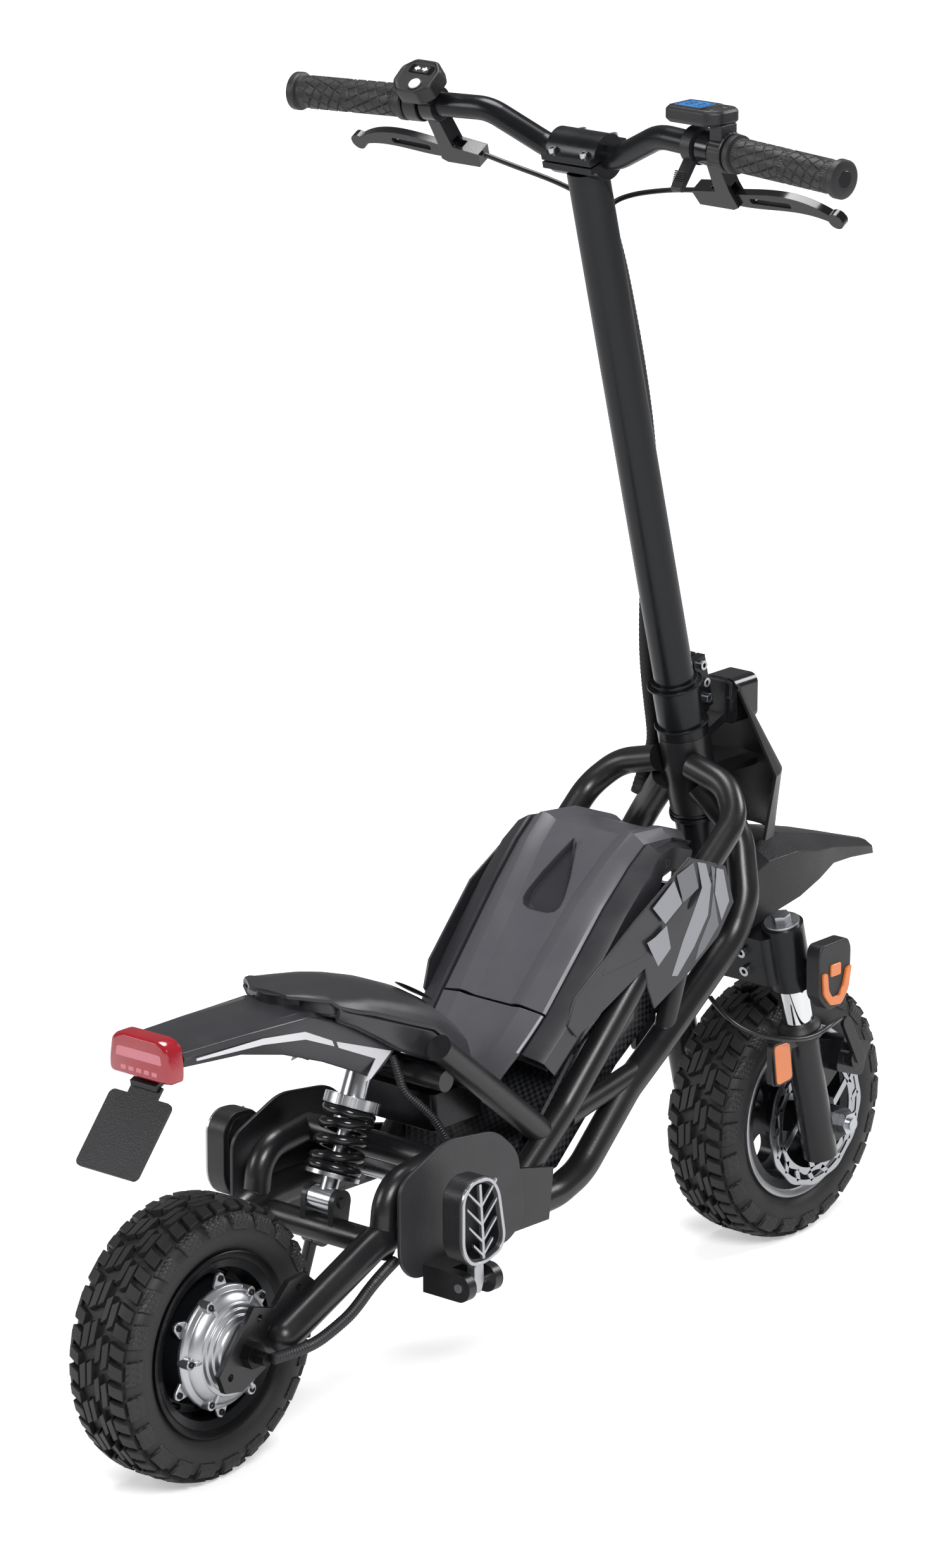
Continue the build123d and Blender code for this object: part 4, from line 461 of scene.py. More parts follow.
def across(k, y, sink):
    """A point of the tank's station k at half width y, sunk under the spine."""
    x0, z0 = spine[max(0, k - 1)]
    x1, z1 = spine[min(len(spine) - 1, k + 1)]
    run = math.hypot(x1 - x0, z1 - z0)
    return (spine[k][0] + (z1 - z0) / run * sink, y, spine[k][1] - (x1 - x0) / run * sink)


def tank_strip(profile, thick):
    """Loft of (half width, sink) rows per station, closed underneath by its thickness."""
    rings = []
    for k in range(len(spine)):
        row = profile(k)
        rings.append(
            [across(k, y, s) for y, s in row] + [across(k, y * 0.985, s + thick) for y, s in reversed(row)],
        )
    return rings


def mirrored(half):
    """A row of (y, ...) points from its outer end to the middle, and back on the other side."""
    return [(-y, *rest) for y, *rest in half] + list(reversed(half))


def panel_row(k):
    """Half of the centre panel at a station: its edge, its crease and the sunken middle."""
    edge, crease = seams[k], creases[k]
    return mirrored(
        [
            (edge, 10), (edge - 2.5, 7.6), (crease + 3, 1.2), (crease, 0.2), (crease - 6, 1.0),
            (crease - 15, 5.2), (8, 5.4),
        ],
    )


bm = bmesh.new()
skin(bm, tank_strip(panel_row, 3)[1:])
centre_panel = piece("tank_centre_panel", bm, graphite, "frame", "cover_grey", "tank_cover", angle=18)
slope = math.hypot(75, 82)
down = (75 / slope, 0, 82 / slope)


def on_slope(s, y, lift):
    """A point on the tank's long slope: s mm up from its foot, at y, lifted square to it."""
    return (-19 + down[0] * s - down[2] * lift, y, 340 + down[2] * s + down[0] * lift)


drop_shape = [(94, 0), (94.5, 11), (97, 18), (103, 21.5), (112, 21), (132, 15), (152, 7.5), (170, 0)]
drop_shape += [(s, -y) for s, y in drop_shape[-2:0:-1]]
bm = bmesh.new()
skin(bm, [[on_slope(s, y, lift) for s, y in drop_shape] for lift in (-16, 12)])
bmesh.ops.recalc_face_normals(bm, faces=bm.faces)
bmesh.ops.scale(bm, vec=(0.001, 0.001, 0.001), verts=bm.verts)
cutter_mesh = bpy.data.meshes.new("drop cutter")
bm.to_mesh(cutter_mesh)
bm.free()
cutter = bpy.data.objects.new("drop cutter", cutter_mesh)
bpy.context.scene.collection.objects.link(cutter)
cut = centre_panel.modifiers.new("recess", "BOOLEAN")
cut.operation = "DIFFERENCE"
cut.object = cutter
graph = bpy.context.evaluated_depsgraph_get()
holed = bpy.data.meshes.new_from_object(centre_panel.evaluated_get(graph))
centre_panel.modifiers.clear()
centre_panel.data = holed
bpy.data.objects.remove(cutter)
bm = bmesh.new()
drop_middle, floor_depth = 120, -11.6


def drop_ring(grow, lift):
    """The drop's outline, grown about its middle and lifted off the slope."""
    return [on_slope(drop_middle + (s - drop_middle) * grow, y * grow, lift) for s, y in drop_shape]


skin(
    bm,
    [
        drop_ring(1.06, -7.4), drop_ring(1.02, -4.6), drop_ring(0.97, -6.4), drop_ring(0.88, -11),
        drop_ring(0.5, floor_depth),
    ],
    caps=False,
)
bm.faces.new([bm.verts.new(p) for p in drop_ring(0.5, floor_depth)])
piece("tank_recess", bm, graphite_dark, "frame", "cover_grey", angle=40)


def shoulder_row(k):
    """A shoulder at a station, from the open seam out and down to its lower edge."""
    seam, edge = seams[k], shoulders[k]
    return [
        (seam + 1.5, 11.5), (seam + 2.6, 8.6), (seam + 5, 7.8), (edge - 6, 12), (edge + 0.5, 16),
        (edge + 1, 36),
    ]


bm = bmesh.new()
for side in (-1, 1):
    skin(bm, tank_strip(lambda k: [(side * y, sunk) for y, sunk in shoulder_row(k)], 3))
piece("tank_shoulders", bm, graphite_dark, "frame", "cover_grey", angle=18)

# ---- Tank chin and liner ----
# A chin of the same ABS, in line with the centre panel under the cross seam, and a dark
# liner that closes the seams from below.
bm = bmesh.new()
chin = [
    (-20.6, 338.4, 60, 36), (-35, 324, 58, 35), (-50, 309, 55, 33), (-62, 290, 46, 24), (-74, 264, 36, 16),
]
rings = []
for x, z, edge, crest in chin:
    row = mirrored([(edge, 9), (edge - 2.5, 7), (crest + 3, 2.2), (crest, 1.4), (crest - 12, 4.8)])
    out = [(x + 0.74 * sunk, y, z - 0.67 * sunk) for y, sunk in row]
    rings.append(out + [(px + 2.2, py * 0.98, pz - 2) for px, py, pz in reversed(out)])
skin(bm, rings)
piece("tank_chin", bm, graphite, "frame", "cover_grey", rounded=0.6, angle=18)
bm = bmesh.new()
skin(bm, tank_strip(lambda k: mirrored([(shoulders[k] - 4, 26), (seams[k] - 3, 17)]), 6))
piece("tank_liner", bm, grained, "frame", "cover_black", angle=25)

# ---- Side panels ----
# ABS panels over the upper tubes, dark behind and printed at the front with an angular
# silver and grey camouflage; the print is cut as thin foil pieces that stand on the panel.
panel = [
    (145, 453), (198, 433), (211, 395), (188, 367), (147, 343), (96, 320), (86, 343), (82, 362), (-14, 321),
    (-28, 336), (-17, 360), (68, 411),
]


def on_panel(x, y, z, side):
    """A point of the side panel, which curves in towards the tank at its rear."""
    inward = 13 * min(max((64 - x) / 92, 0), 1)
    return (x + 1.19 * inward, side * (y - inward), z - 0.59 * inward)


bm = bmesh.new()
for side in (-1, 1):
    skin(bm, [[on_panel(x, y, z, side) for x, z in panel] for y in (96.6, 99.4)])
piece("side_panels_shell", bm, graphite_dark, "frame", "cover_grey", "side_panels", rounded=1.4, steps=3)
silver_foil = finish("silver_printed_foil", "#8E8F94", 0.34, metallic=0.35, grain=0.5, depth=0.02, shade=0.04)
grey_foil = finish("grey_printed_foil", "#6A6B70", 0.34, metallic=0.25, grain=0.5, depth=0.02, shade=0.04)
silver_shards = [
    [(92, 417), (122, 436), (134, 412), (110, 398)],
    [(96, 389), (112, 396), (118, 373), (100, 360), (84, 386)],
    [
        (156, 446), (163, 420), (150, 398), (136, 376), (120, 346), (128, 344), (152, 366), (172, 392),
        (176, 420), (168, 442),
    ],
    [(184, 434), (194, 430), (203, 398), (192, 382), (182, 410)],
]
grey_shards = [
    [(126, 440), (150, 447), (158, 421), (136, 412)],
    [
        (176, 438), (182, 434), (180, 412), (188, 378), (168, 360), (154, 352), (160, 366), (176, 390),
        (180, 414),
    ],
    [(112, 424), (124, 430), (122, 408), (108, 414)],
]
foil_back = 99.3
for foil, face, shards in ((silver_foil, 99.8, silver_shards), (grey_foil, 99.6, grey_shards)):
    bm = bmesh.new()
    for side in (-1, 1):
        for shape in shards:
            slab(bm, shape, side * foil_back, side * face)
    piece(f"side_decals_{foil.name}", bm, foil, "frame", "cover_grey")

# ---- Seat pad ----
# A soft-touch moulded skin over a hard shell: crowned top, rolled side lip, a thumb recess
# at its nose and a hard drum under the overhanging tail.
soft_touch = finish("soft_touch_black_skin", "#29292D", 0.4, grain=0.6, depth=0.16, shade=0.08, edge=0.8)


def softened(points, radius, steps=5):
    """Round the corners of a closed 2-D outline."""
    out = []
    for i, p in enumerate(points):
        here = Vector(p)
        before = Vector(points[i - 1]) - here
        after = Vector(points[(i + 1) % len(points)]) - here
        reach = min(radius, before.length * 0.48, after.length * 0.48)
        a = here + before.normalized() * reach
        b = here + after.normalized() * reach
        for k in range(steps + 1):
            t = k / steps
            out.append(tuple(a * (1 - t) ** 2 + here * 2 * t * (1 - t) + b * t * t))
    return out


seat_rows = [
    (-318, 420.6, 22, 419.4), (-306, 421, 35, 417.5), (-292, 421, 51, 415), (-288, 420.8, 56.5, 410),
    (-270, 419.5, 59.5, 402.5), (-245, 416, 60, 394), (-226, 411.5, 60, 386), (-196, 402, 60, 373.5),
    (-165, 389, 60, 361), (-140, 375, 59.5, 341), (-120, 360, 57.5, 323), (-106, 350, 53, 313.5),
    (-98, 344, 42, 314), (-93, 338, 26, 320),
]
bm = bmesh.new()
rings = []
for x, top, half, side_z in seat_rows:
    ring = []
    for t in range(21):
        u = math.cos(math.pi * t / 20)
        fall = abs(u) ** 2.4 * 0.72 + max(0, abs(u) - 0.9) * 2.8
        ring.append((x, half * u, top - (top - side_z) * min(fall, 1)))
    ring += [(x, y, side_z - down) for y, down in mirrored([(half, 3.2), (half - 4, 4)])]
    rings.append(ring)
skin(bm, rings)
piece("seat_pad", bm, soft_touch, "frame", "seat", "seat_cover", angle=38)
bm = bmesh.new()
rest_x, rest_y, rest_z, rest_slope = -150, -22, 382.2, 0.62
rest_half_length, rest_half_width = 21, 12.5
rows = []
for grow, lift in ((1.0, 0.4), (0.94, 0.9), (0.86, 0.2), (0.4, -0.6)):
    outline = [(rest_half_length * u * grow, rest_half_width * v * grow) for u, v in circle(1, 40)]
    rows.append([(rest_x + u, rest_y + v, rest_z - u * rest_slope + lift) for u, v in outline])
skin(bm, rows)
piece("seat_thumb_rest", bm, graphite_dark, "frame", "seat", angle=50)
bm = bmesh.new()
skirt_top = [
    (-288, 407), (-262, 397), (-228, 383.5), (-196, 370.5), (-165, 358), (-140, 338), (-120, 320),
    (-108, 310),
]
skirt_low = [
    (-286, 393), (-262, 381), (-230, 362), (-205, 346), (-182, 335), (-152, 322), (-128, 309), (-113, 301),
]
for side in (-1, 1):
    rows = []
    for (x0, z0), (x1, z1) in zip(skirt_top, skirt_low):
        row = [
            (x0, 56.5, z0), (x0, 58, z0 - 2.5), (x1, 54.5, z1 + 3), (x1, 51.5, z1), (x1, 49, z1 + 2),
            (x0, 53, z0 - 1.5),
        ]
        rows.append([(x, side * y, z) for x, y, z in row])
    skin(bm, rows)
piece("seat_skirts", bm, graphite_dark, "frame", "seat", rounded=1.0, angle=30)
bm = bmesh.new()
base_shrinks_at, base_bend, base_slope = -250, -285, 0.42
base = softened(
    [(-303, -26), (-291, -50), (-262, -56), (-200, -56), (-200, 56), (-262, 56), (-291, 50), (-303, 26)], 3,
    3,
)
rows = []
for grow, z in ((0.94, 398), (1.0, 402), (0.985, 415)):
    row = [
        (base_shrinks_at + (x - base_shrinks_at) * (grow if x < base_shrinks_at else 1), x, y * grow)
        for x, y in base
    ]
    rows.append([(x, y, z - max(0, old_x - base_bend) * base_slope) for x, old_x, y in row])
skin(bm, rows)
piece("seat_base", bm, graphite_dark, "frame", "seat", rounded=0.8, angle=30)
bm = bmesh.new()
drum_x = -299
drum = [(0.01, 399), (25.6, 399), (25.6, 402), (24.2, 404), (23.6, 415), (24.4, 418.4), (0.01, 418.4)]
skin(bm, [[(drum_x + r * u, r * v, z) for r, z in drum] for u, v in circle(1)], ends_meet=True)
piece("seat_drum", bm, grained, "frame", "cover_black", rounded=0.8, angle=30)

# ---- Tail fairing ----
# Two ABS flanks and a spine shell with a hollow belly; each flank carries a silver stripe
# that is broken by a double slash and turns down at its front.
tail_top = [(-466, 411), (-390, 409), (-308, 406), (-262, 388), (-223, 367), (-194, 352)]
tail_low = [(-462, 392), (-390, 386), (-340, 374), (-290, 355), (-252, 337), (-224, 323)]
bm = bmesh.new()
for side in (-1, 1):
    rows = []
    for half, (x0, z0), (x1, z1) in zip((36, 39, 43, 44, 44, 44), tail_top, tail_low):
        xm, zm = (x0 + x1) / 2, (z0 + z1) / 2
        face = [(x0, half - 8, z0), (x0, half - 1, z0 - 4), (xm, half, zm), (x1, half - 5, z1)]
        back = [(x1, half - 8, z1), (xm, half - 3.5, zm), (x0, half - 4, z0 - 6), (x0, half - 10, z0 - 2.5)]
        rows.append([(x, side * y, z) for x, y, z in face + back])
    skin(bm, rows)
piece("tail_flanks", bm, graphite_dark, "frame", "cover_grey", "tail_fairing", rounded=1.2, steps=3, angle=25)
bm = bmesh.new()
rows = []
for half, rise, (x, z) in zip((29.5, 32.5, 34.5, 35.5, 35.5, 35.5), (0, 3.5, 3.5, 3.5, 0, 0), tail_top):
    top = mirrored([(half, z - 0.5), (half * 0.55, z + rise)])
    under = mirrored([(half, z - 4), (half * 0.5, z - 2)])
    rows.append([(x, y, height) for y, height in top + under[::-1]])
skin(bm, rows)
piece("tail_spine", bm, graphite_dark, "frame", "cover_grey", rounded=1.0, angle=25)
rear_stripe = [
    (-452, 399.6), (-452, 397.6), (-370, 392), (-318, 384), (-281, 368.5), (-284, 374.5), (-318, 391),
    (-370, 397.5),
]
front_stripe = [(-278, 372), (-275, 365.5), (-226, 343), (-240, 325.5), (-233, 326), (-205, 345), (-224, 352)]
stripe_taper_from, stripe_taper = -300, 0.035
bm = bmesh.new()
for side in (-1, 1):
    for shape in (rear_stripe, front_stripe):
        taper = [max(stripe_taper_from - x, 0) * stripe_taper for x, z in shape]
        skin(
            bm,
            [[(x, side * (y - pulled), z) for (x, z), pulled in zip(shape, taper)] for y in (43.4, 44.3)],
        )
pale_foil = finish("pale_printed_stripe", "#CFCFD3", 0.4, grain=0.5, depth=0.02, shade=0.02)
piece("tail_stripes", bm, pale_foil, "frame", "cover_grey")

# ---- Guard plates and foot pegs ----
# Pressed steel plates with rolled corners, and folding pegs: a black cast housing with a
# polished frame and a leaf-shaped grille of a spine and four pairs of veins.
plate_coat = finish("fine_texture_grey_coat", "#252528", 0.42, grain=0.6, depth=0.3, shade=0.06, edge=0.4)
guard = softened(
    [
        (-259.5, 246), (-195, 272), (-128, 263), (-98, 236), (-89, 172), (-110, 153), (-242, 153),
        (-259.5, 172),
    ],
    14,
)
bm = bmesh.new()
for side in (-1, 1):
    slab(bm, guard, side * 97, side * 101)
piece(
    "guard_plate_faces", bm, plate_coat, "frame", "dark_metal", "guard_plates", rounded=1.1, steps=3,
    angle=45,
)
rim_alloy = finish(
    "satin_cast_alloy", "#B4B5B9", 0.32, metallic=0.9, grain=0.4, depth=0.08, shade=0.05, edge=0.5,
)
housing = softened(
    [
        (-236, 240), (-222, 253), (-196, 251), (-184, 236), (-175.5, 190), (-181, 177), (-206, 169.5),
        (-226, 173), (-236, 190),
    ],
    12,
)
window = softened(
    [
        (-229, 237), (-219, 246.5), (-199, 245), (-190, 233), (-182.5, 191), (-186, 182.5), (-206, 176),
        (-221, 178.5), (-229, 191),
    ],
    9,
)
tongue = softened([(-212, 171), (-213, 153), (-209, 142.5), (-203, 142.5), (-199, 153), (-200, 171)], 4)
spine_line = [(-210, 246), (-208, 220), (-206, 196), (-205, 175.5)]
sides = (("right", -1), ("left", 1))


def between(share):
    """An outline part of the way from the housing's edge to its window."""
    return [tuple(Vector(p).lerp(Vector(q), share)) for p, q in zip(housing, window)]


for name, side in sides:
    body = f"{name}_peg"
    bm = bmesh.new()
    slab(bm, housing, side * 129, side * 150.4, hole=window)
    slab(bm, window, side * 129.2, side * 133)
    piece(
        f"{name}_peg_housing", bm, grained, body, "dark_metal", f"{name}_foot_peg", rounded=1.6, steps=3,
        angle=40,
    )
    bm = bmesh.new()
    slab(bm, between(0.12), side * 149.5, side * 152.6, hole=between(0.62))
    bar = ((-1.9, 148), (1.9, 148), (1.5, 151.6), (-1.5, 151.6))
    skin(bm, [[(x + wide, side * y, z) for wide, y in bar] for x, z in spine_line])
    for low, reach in ((225, 21), (208, 20), (192, 18.5), (179, 13)):
        for way in (-1, 1):
            foot = -208 + (225 - low) * 0.06
            rows = []
            for x, z, w in ((foot, low, 2.6), (foot + way * reach, low + 0.95 * reach, 2.0)):
                vein = ((148, -w), (148, w * 0.6), (151.2, w * 0.5), (151.2, -w * 0.8))
                rows.append([(x, side * y, z + up) for y, up in vein])
            skin(bm, rows)
    piece(f"{name}_peg_grille", bm, rim_alloy, body, "alloy", rounded=0.5, angle=30)
    bm = bmesh.new()
    slab(bm, tongue, side * 137.2, side * 147)
    piece(f"{name}_peg_tongue", bm, rim_alloy, body, "alloy", rounded=1.2, angle=40)

# ---- Rear shock ----
# A threaded alloy body with a notched preload collar, and a coil of 9.4 mm wire in gloss
# black, its last turns wound flat so that they sit square on their seats.
low_eye, high_eye = Vector((-244, 0, 207)), Vector((-192, 0, 326))
along = (high_eye - low_eye).normalized()
square = Vector((0, 1, 0))
third = along.cross(square)
gloss_coil = finish("gloss_black_coil", "#18181A", 0.14, grain=0.5, depth=0.03, shade=0.05)


def on_shock(up, radius, angle):
    """A point beside the shock: its height over the lower eye, its radius and its angle."""
    return low_eye + along * up + (square * math.cos(angle) + third * math.sin(angle)) * radius


coil_turns, flat_turns, steps_a_turn = 4.7, 0.7, 28
low_seat, high_seat, coil_radius, wire_radius = 28.9, 79.2, 20.25, 4.7
bm = bmesh.new()
rings = []
coil_steps = int(coil_turns * steps_a_turn)
for i in range(coil_steps + 1):
    turned_so_far = coil_turns * i / coil_steps
    ease = min(max((turned_so_far - flat_turns) / (coil_turns - 2 * flat_turns), 0), 1)
    up = low_seat + (high_seat - low_seat) * ease
    centre = on_shock(up, coil_radius, 2 * math.pi * turned_so_far)
    out = (centre - (low_eye + along * up)).normalized()
    rings.append([centre + out * u + along * v for u, v in circle(wire_radius, 14)])
skin(bm, rings)
coil = piece("shock_coil", bm, gloss_coil, "damper_body", "spring", "shock_spring", angle=60)
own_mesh(coil)
thread_start, thread_step, thread_radius, thread_depth = 95, 0.75, 12.45, 0.8
bm = bmesh.new()
thread = []
for k in range(37):
    radius = thread_radius - (thread_depth if k % 2 else 0)
    thread.append([on_shock(thread_start + k * thread_step, radius, 2 * math.pi * i / 40) for i in range(40)])
skin(bm, thread)
piece("shock_thread", bm, turned, "damper_body", "alloy", angle=50)
collar_low, collar_high, collar_bore = 84.2, 93.6, 12.3
notched = [22.6 if i % 8 in (3, 4) else 25.4 for i in range(96)]
plain = [collar_bore] * len(notched)
bm = bmesh.new()
collar = []
for up, radii in ((collar_low, notched), (collar_high, notched), (collar_high, plain), (collar_low, plain)):
    collar.append([on_shock(up, radius, 2 * math.pi * i / len(radii)) for i, radius in enumerate(radii)])
skin(bm, collar, ends_meet=True)
piece("shock_collar", bm, polished, "damper_body", "alloy", rounded=0.5, angle=30)

# ---- Conduits ----
# Split polyamide conduit with ribs every 3 mm, over the wires to the motor and the tail,
# and a smooth hose down to the caliper.
ribbed = finish("ribbed_polyamide_conduit", "#232326", 0.42, grain=0.5, depth=0.1, shade=0.1)


def swept(points, radius, rib=0.0, every=3.0, sides=14):
    """A round cable on a smooth curve through millimetre points, as a bmesh in mm."""
    line = bpy.data.curves.new("route", "CURVE")
    line.dimensions = "3D"
    spline = line.splines.new("NURBS")
    spline.points.add(len(points) - 1)
    for point, place in zip(spline.points, points):
        point.co = (*place, 1)
    spline.order_u = 3
    spline.use_endpoint_u = True
    holder = bpy.data.objects.new("route", line)
    bpy.context.scene.collection.objects.link(holder)
    group = bpy.data.node_groups.new("cable on a route", "GeometryNodeTree")
    group.interface.new_socket("Geometry", in_out="INPUT", socket_type="NodeSocketGeometry")
    thick = group.interface.new_socket("Radius", in_out="INPUT", socket_type="NodeSocketFloat")
    deep = group.interface.new_socket("Rib", in_out="INPUT", socket_type="NodeSocketFloat")
    spaced = group.interface.new_socket("Spacing", in_out="INPUT", socket_type="NodeSocketFloat")
    group.interface.new_socket("Geometry", in_out="OUTPUT", socket_type="NodeSocketGeometry")
    entry = add(group, "NodeGroupInput")
    even = add(
        group, "GeometryNodeResampleCurve",
        {"Curve": entry.outputs["Geometry"], "Length": entry.outputs["Spacing"]}, mode="LENGTH",
    )
    index = add(group, "GeometryNodeInputIndex")
    phase = add(group, "ShaderNodeMath", {0: index.outputs[0], 1: math.pi / 2}, operation="MULTIPLY")
    wave = add(group, "ShaderNodeMath", {0: phase.outputs[0]}, operation="SINE")
    swell = add(
        group, "ShaderNodeMath", {0: wave.outputs[0], 1: entry.outputs["Rib"], 2: entry.outputs["Radius"]},
        operation="MULTIPLY_ADD",
    )
    ring = add(group, "GeometryNodeCurvePrimitiveCircle", {"Resolution": sides, "Radius": 1.0})
    tube = add(
        group, "GeometryNodeCurveToMesh",
        {
            "Curve": even.outputs[0], "Profile Curve": ring.outputs["Curve"], "Scale": swell.outputs[0],
            "Fill Caps": True,
        },
    )
    real = add(group, "GeometryNodeRealizeInstances", {0: tube.outputs[0]})
    coated = add(group, "GeometryNodeSetMaterial", {"Geometry": real.outputs[0], "Material": ribbed})
    add(group, "NodeGroupOutput", {0: coated.outputs[0]})
    modifier = holder.modifiers.new("cable", "NODES")
    modifier.node_group = group
    modifier[thick.identifier] = radius
    modifier[deep.identifier] = rib
    modifier[spaced.identifier] = every / 4 if rib else 3.0
    graph = bpy.context.evaluated_depsgraph_get()
    whole = bpy.data.meshes.new_from_object(holder.evaluated_get(graph))
    bpy.data.objects.remove(holder)
    made = bmesh.new()
    made.from_mesh(whole)
    return made


route = [
    (-416, -91, 128), (-392, -96, 129), (-366, -97, 130), (-340, -96, 136), (-314, -94, 143),
    (-274, -84, 158), (-238, -76, 165),
]
piece("motor_lead", swept(route, 5.0, rib=0.55), ribbed, "rear_arm", "rubber", "motor_conduit", angle=70)
rubber_hose = finish("smooth_pvc_hose", "#1E1E20", 0.3, grain=0.6, depth=0.05, shade=0.08)
route = [
    (-196, -36.5, 338), (-191, -40, 320), (-187, -42, 302), (-172, -50, 286), (-160, -56, 272),
    (-148, -64, 244), (-142, -66, 222),
]
tail_lead = piece("tail_lead", swept(route, 3.7, rib=0.45, every=2.6), ribbed, "frame", "rubber", angle=70)
route = [
    (262, -32, 276), (258, -52, 262), (272, -78, 246), (300, -99, 238), (336, -99.8, 233), (366, -99, 240),
    (394, -86, 234),
]
piece("caliper_hose", swept(route, 2.35), rubber_hose, "lowers", "rubber", "front_brake_hose", angle=70)

# ---- Grips ----
# Moulded rubber with slanted blocks in two bands, knurled rings between them, and a
# flange at each end.
grip_rubber = finish("moulded_grip_rubber", "#1E1E20", 0.5, grain=0.5, depth=0.25, shade=0.08)


def bar_end(side):
    """The middle of the bar's end face on one side."""
    return Vector((79.52, 311 * side, 1118.10))


def along_bar(side):
    """The direction from a bar end towards the stem."""
    return Vector((0.07485, -0.99649 * side, 0.03743))


def round_line(bm, start, line, profile, turns=96, relief=None):
    """Turn (distance, radius) pairs round a line; relief(distance, angle) is added to the radius."""
    line = Vector(line).normalized()
    first = line.cross(Vector((0, 0, 1))).normalized()
    second = line.cross(first)
    rings = []
    for t, radius in profile:
        ring = []
        for i in range(turns):
            a = 2 * math.pi * i / turns
            r = radius + (relief(t, a) if relief else 0)
            ring.append(Vector(start) + line * t + (first * math.cos(a) + second * math.sin(a)) * r)
        rings.append(ring)
    skin(bm, rings)


def grip_relief(t, a):
    """Height of the moulded pattern at a distance along the grip and an angle round it."""
    pattern_start, pattern_end, middle, ring_half = 8, 117, 60, 3
    ring_width, knurls, ring_rise, block_rise = 5, 40, 0.45, 0.95
    slant_pitch, slants_round, row_pitch, rows_round, groove = 11, 5, 22, 10, (0.16, 0.14)
    if t < pattern_start or t > pattern_end:
        return 0.0
    first_block, last_block = pattern_start + ring_width, pattern_end - ring_width
    if abs(t - middle) < ring_half or t < first_block or t > last_block:
        return ring_rise if math.sin(a * knurls) > 0 else 0.0
    way = 1 if t < middle else -1
    turn = a / (2 * math.pi)
    across_line = ((t - first_block) / slant_pitch + slants_round * turn * way) % 1.0
    along_line = (rows_round * turn - (t / row_pitch) * way) % 1.0
    return block_rise if groove[0] < across_line and groove[1] < along_line else 0.0


grip_profile = [(-4, 9), (-4, 15.5), (-3, 17.4), (2.5, 17.6), (4, 16.8), (5, 14.4)]
grip_profile += [(7.2 + k * 0.62, 14.3) for k in range(177)]
grip_profile += [(118.4, 14.6), (119, 17.4), (124, 17.6), (125.6, 16.4), (125.8, 11.2)]
plug_profile = [(-4.4, 4), (-4.4, 7.4), (-3.6, 8.4), (-3.2, 8.4), (-3.2, 4)]
for name, side in sides:
    bm = bmesh.new()
    round_line(bm, bar_end(side), along_bar(side), grip_profile, turns=160, relief=grip_relief)
    piece(f"{name}_grip", bm, grip_rubber, "steering", "rubber", *(("grips",) if side < 0 else ()), angle=28)
    bm = bmesh.new()
    round_line(bm, bar_end(side), along_bar(side), plug_profile, turns=48)
    piece(f"{name}_bar_plug", bm, anodised, "steering", "dark_metal", angle=35)

# ---- Display ----
# A shallow case of grained plastic on a ribbed ring, with a smoked window, a blue
# liquid-crystal panel set in it and two domed silicone keys.
def glowing(code, strength):
    """Sockets of a faint glow."""
    return {"Emission Color": linear(code), "Emission Strength": strength}


def flat(outline, *heights):
    """Copies of an (x, y) outline at several heights."""
    return [[(x, y, z) for x, y in outline] for z in heights]


def rectangle(low_u, high_u, low_v, high_v):
    """Corners of a rectangle in a plane."""
    return [(low_u, low_v), (high_u, low_v), (high_u, high_v), (low_u, high_v)]


lcd = finish(
    "backlit_blue_crystal", "#1D5C94", 0.25, grain=0.3, depth=0.0, shade=0.25, **glowing("#2E7FC4", 0.35),
)
segments = finish("dark_blue_segments", "#0B2742", 0.3, grain=0.3, depth=0.0)
glass = finish("smoked_window", "#0B0C0E", 0.06, grain=0.5, depth=0.0, shade=0.0)
display_x, display_y = 86, -152.5
outline = softened(
    [
        (67, -125), (84, -122.5), (104, -126), (106, -140), (106, -176), (100, -182.5), (76, -182.5),
        (67, -172),
    ],
    5,
)
inset, lower = [
    [(display_x + (x - display_x) * wide, display_y + (y - display_y) * long) for x, y in outline]
    for wide, long in ((0.9, 0.93), (0.86, 0.9))
]
bm = bmesh.new()
skin(bm, flat(lower, 1146.5) + flat(outline, 1150, 1158.6) + flat(inset, 1161.2))
skin(bm, flat(rectangle(76, 98, -182, -168.5), 1132, 1148))
piece("display_shell", bm, grained, "steering", "cover_black", "display_housing", rounded=0.8, angle=30)
bm = bmesh.new()
pane = softened([(70.5, -127), (101.5, -127), (102.8, -140), (102.8, -163), (70.5, -163)], 2.5)
skin(bm, flat(pane, 1160.2, 1161.9))
piece("display_window", bm, glass, "steering", "screen", rounded=0.3, angle=40)
bm = bmesh.new()
skin(bm, flat(softened([(74, -130.5), (98, -130.5), (98, -159.5), (74, -159.5)], 1.5), 1161.5, 1162.05))
piece("display_panel", bm, lcd, "steering", "screen")
bm = bmesh.new()
strokes = {
    "a": (6, 0), "b": (3, -2.3), "c": (-3, -2.3), "d": (-6, 0), "e": (-3, 2.3), "f": (3, 2.3), "g": (0, 0),
}
marks = [(x, y, 1.1, 0.9) for y in (-133, -156.5) for x in (77, 82, 87, 92, 95)]
for column, pattern in ((-140.5, "abcdefg"), (-149.5, "abcdg")):
    for row, shift in (strokes[letter] for letter in pattern):
        high, wide = (2.4, 0.55) if shift else (0.55, 1.9)
        marks.append((display_x + row, column + shift, high, wide))
for x, y, high, wide in marks:
    skin(bm, flat(rectangle(x - high, x + high, y - wide, y + wide), 1161.9, 1162.2))
piece("display_digits", bm, segments, "steering", "screen")
bm = bmesh.new()
ring_profile = [(0.4, 11.3), (0.4, 17.4), (1.2, 18), (14.6, 18), (15.4, 17.4), (15.4, 11.3)]


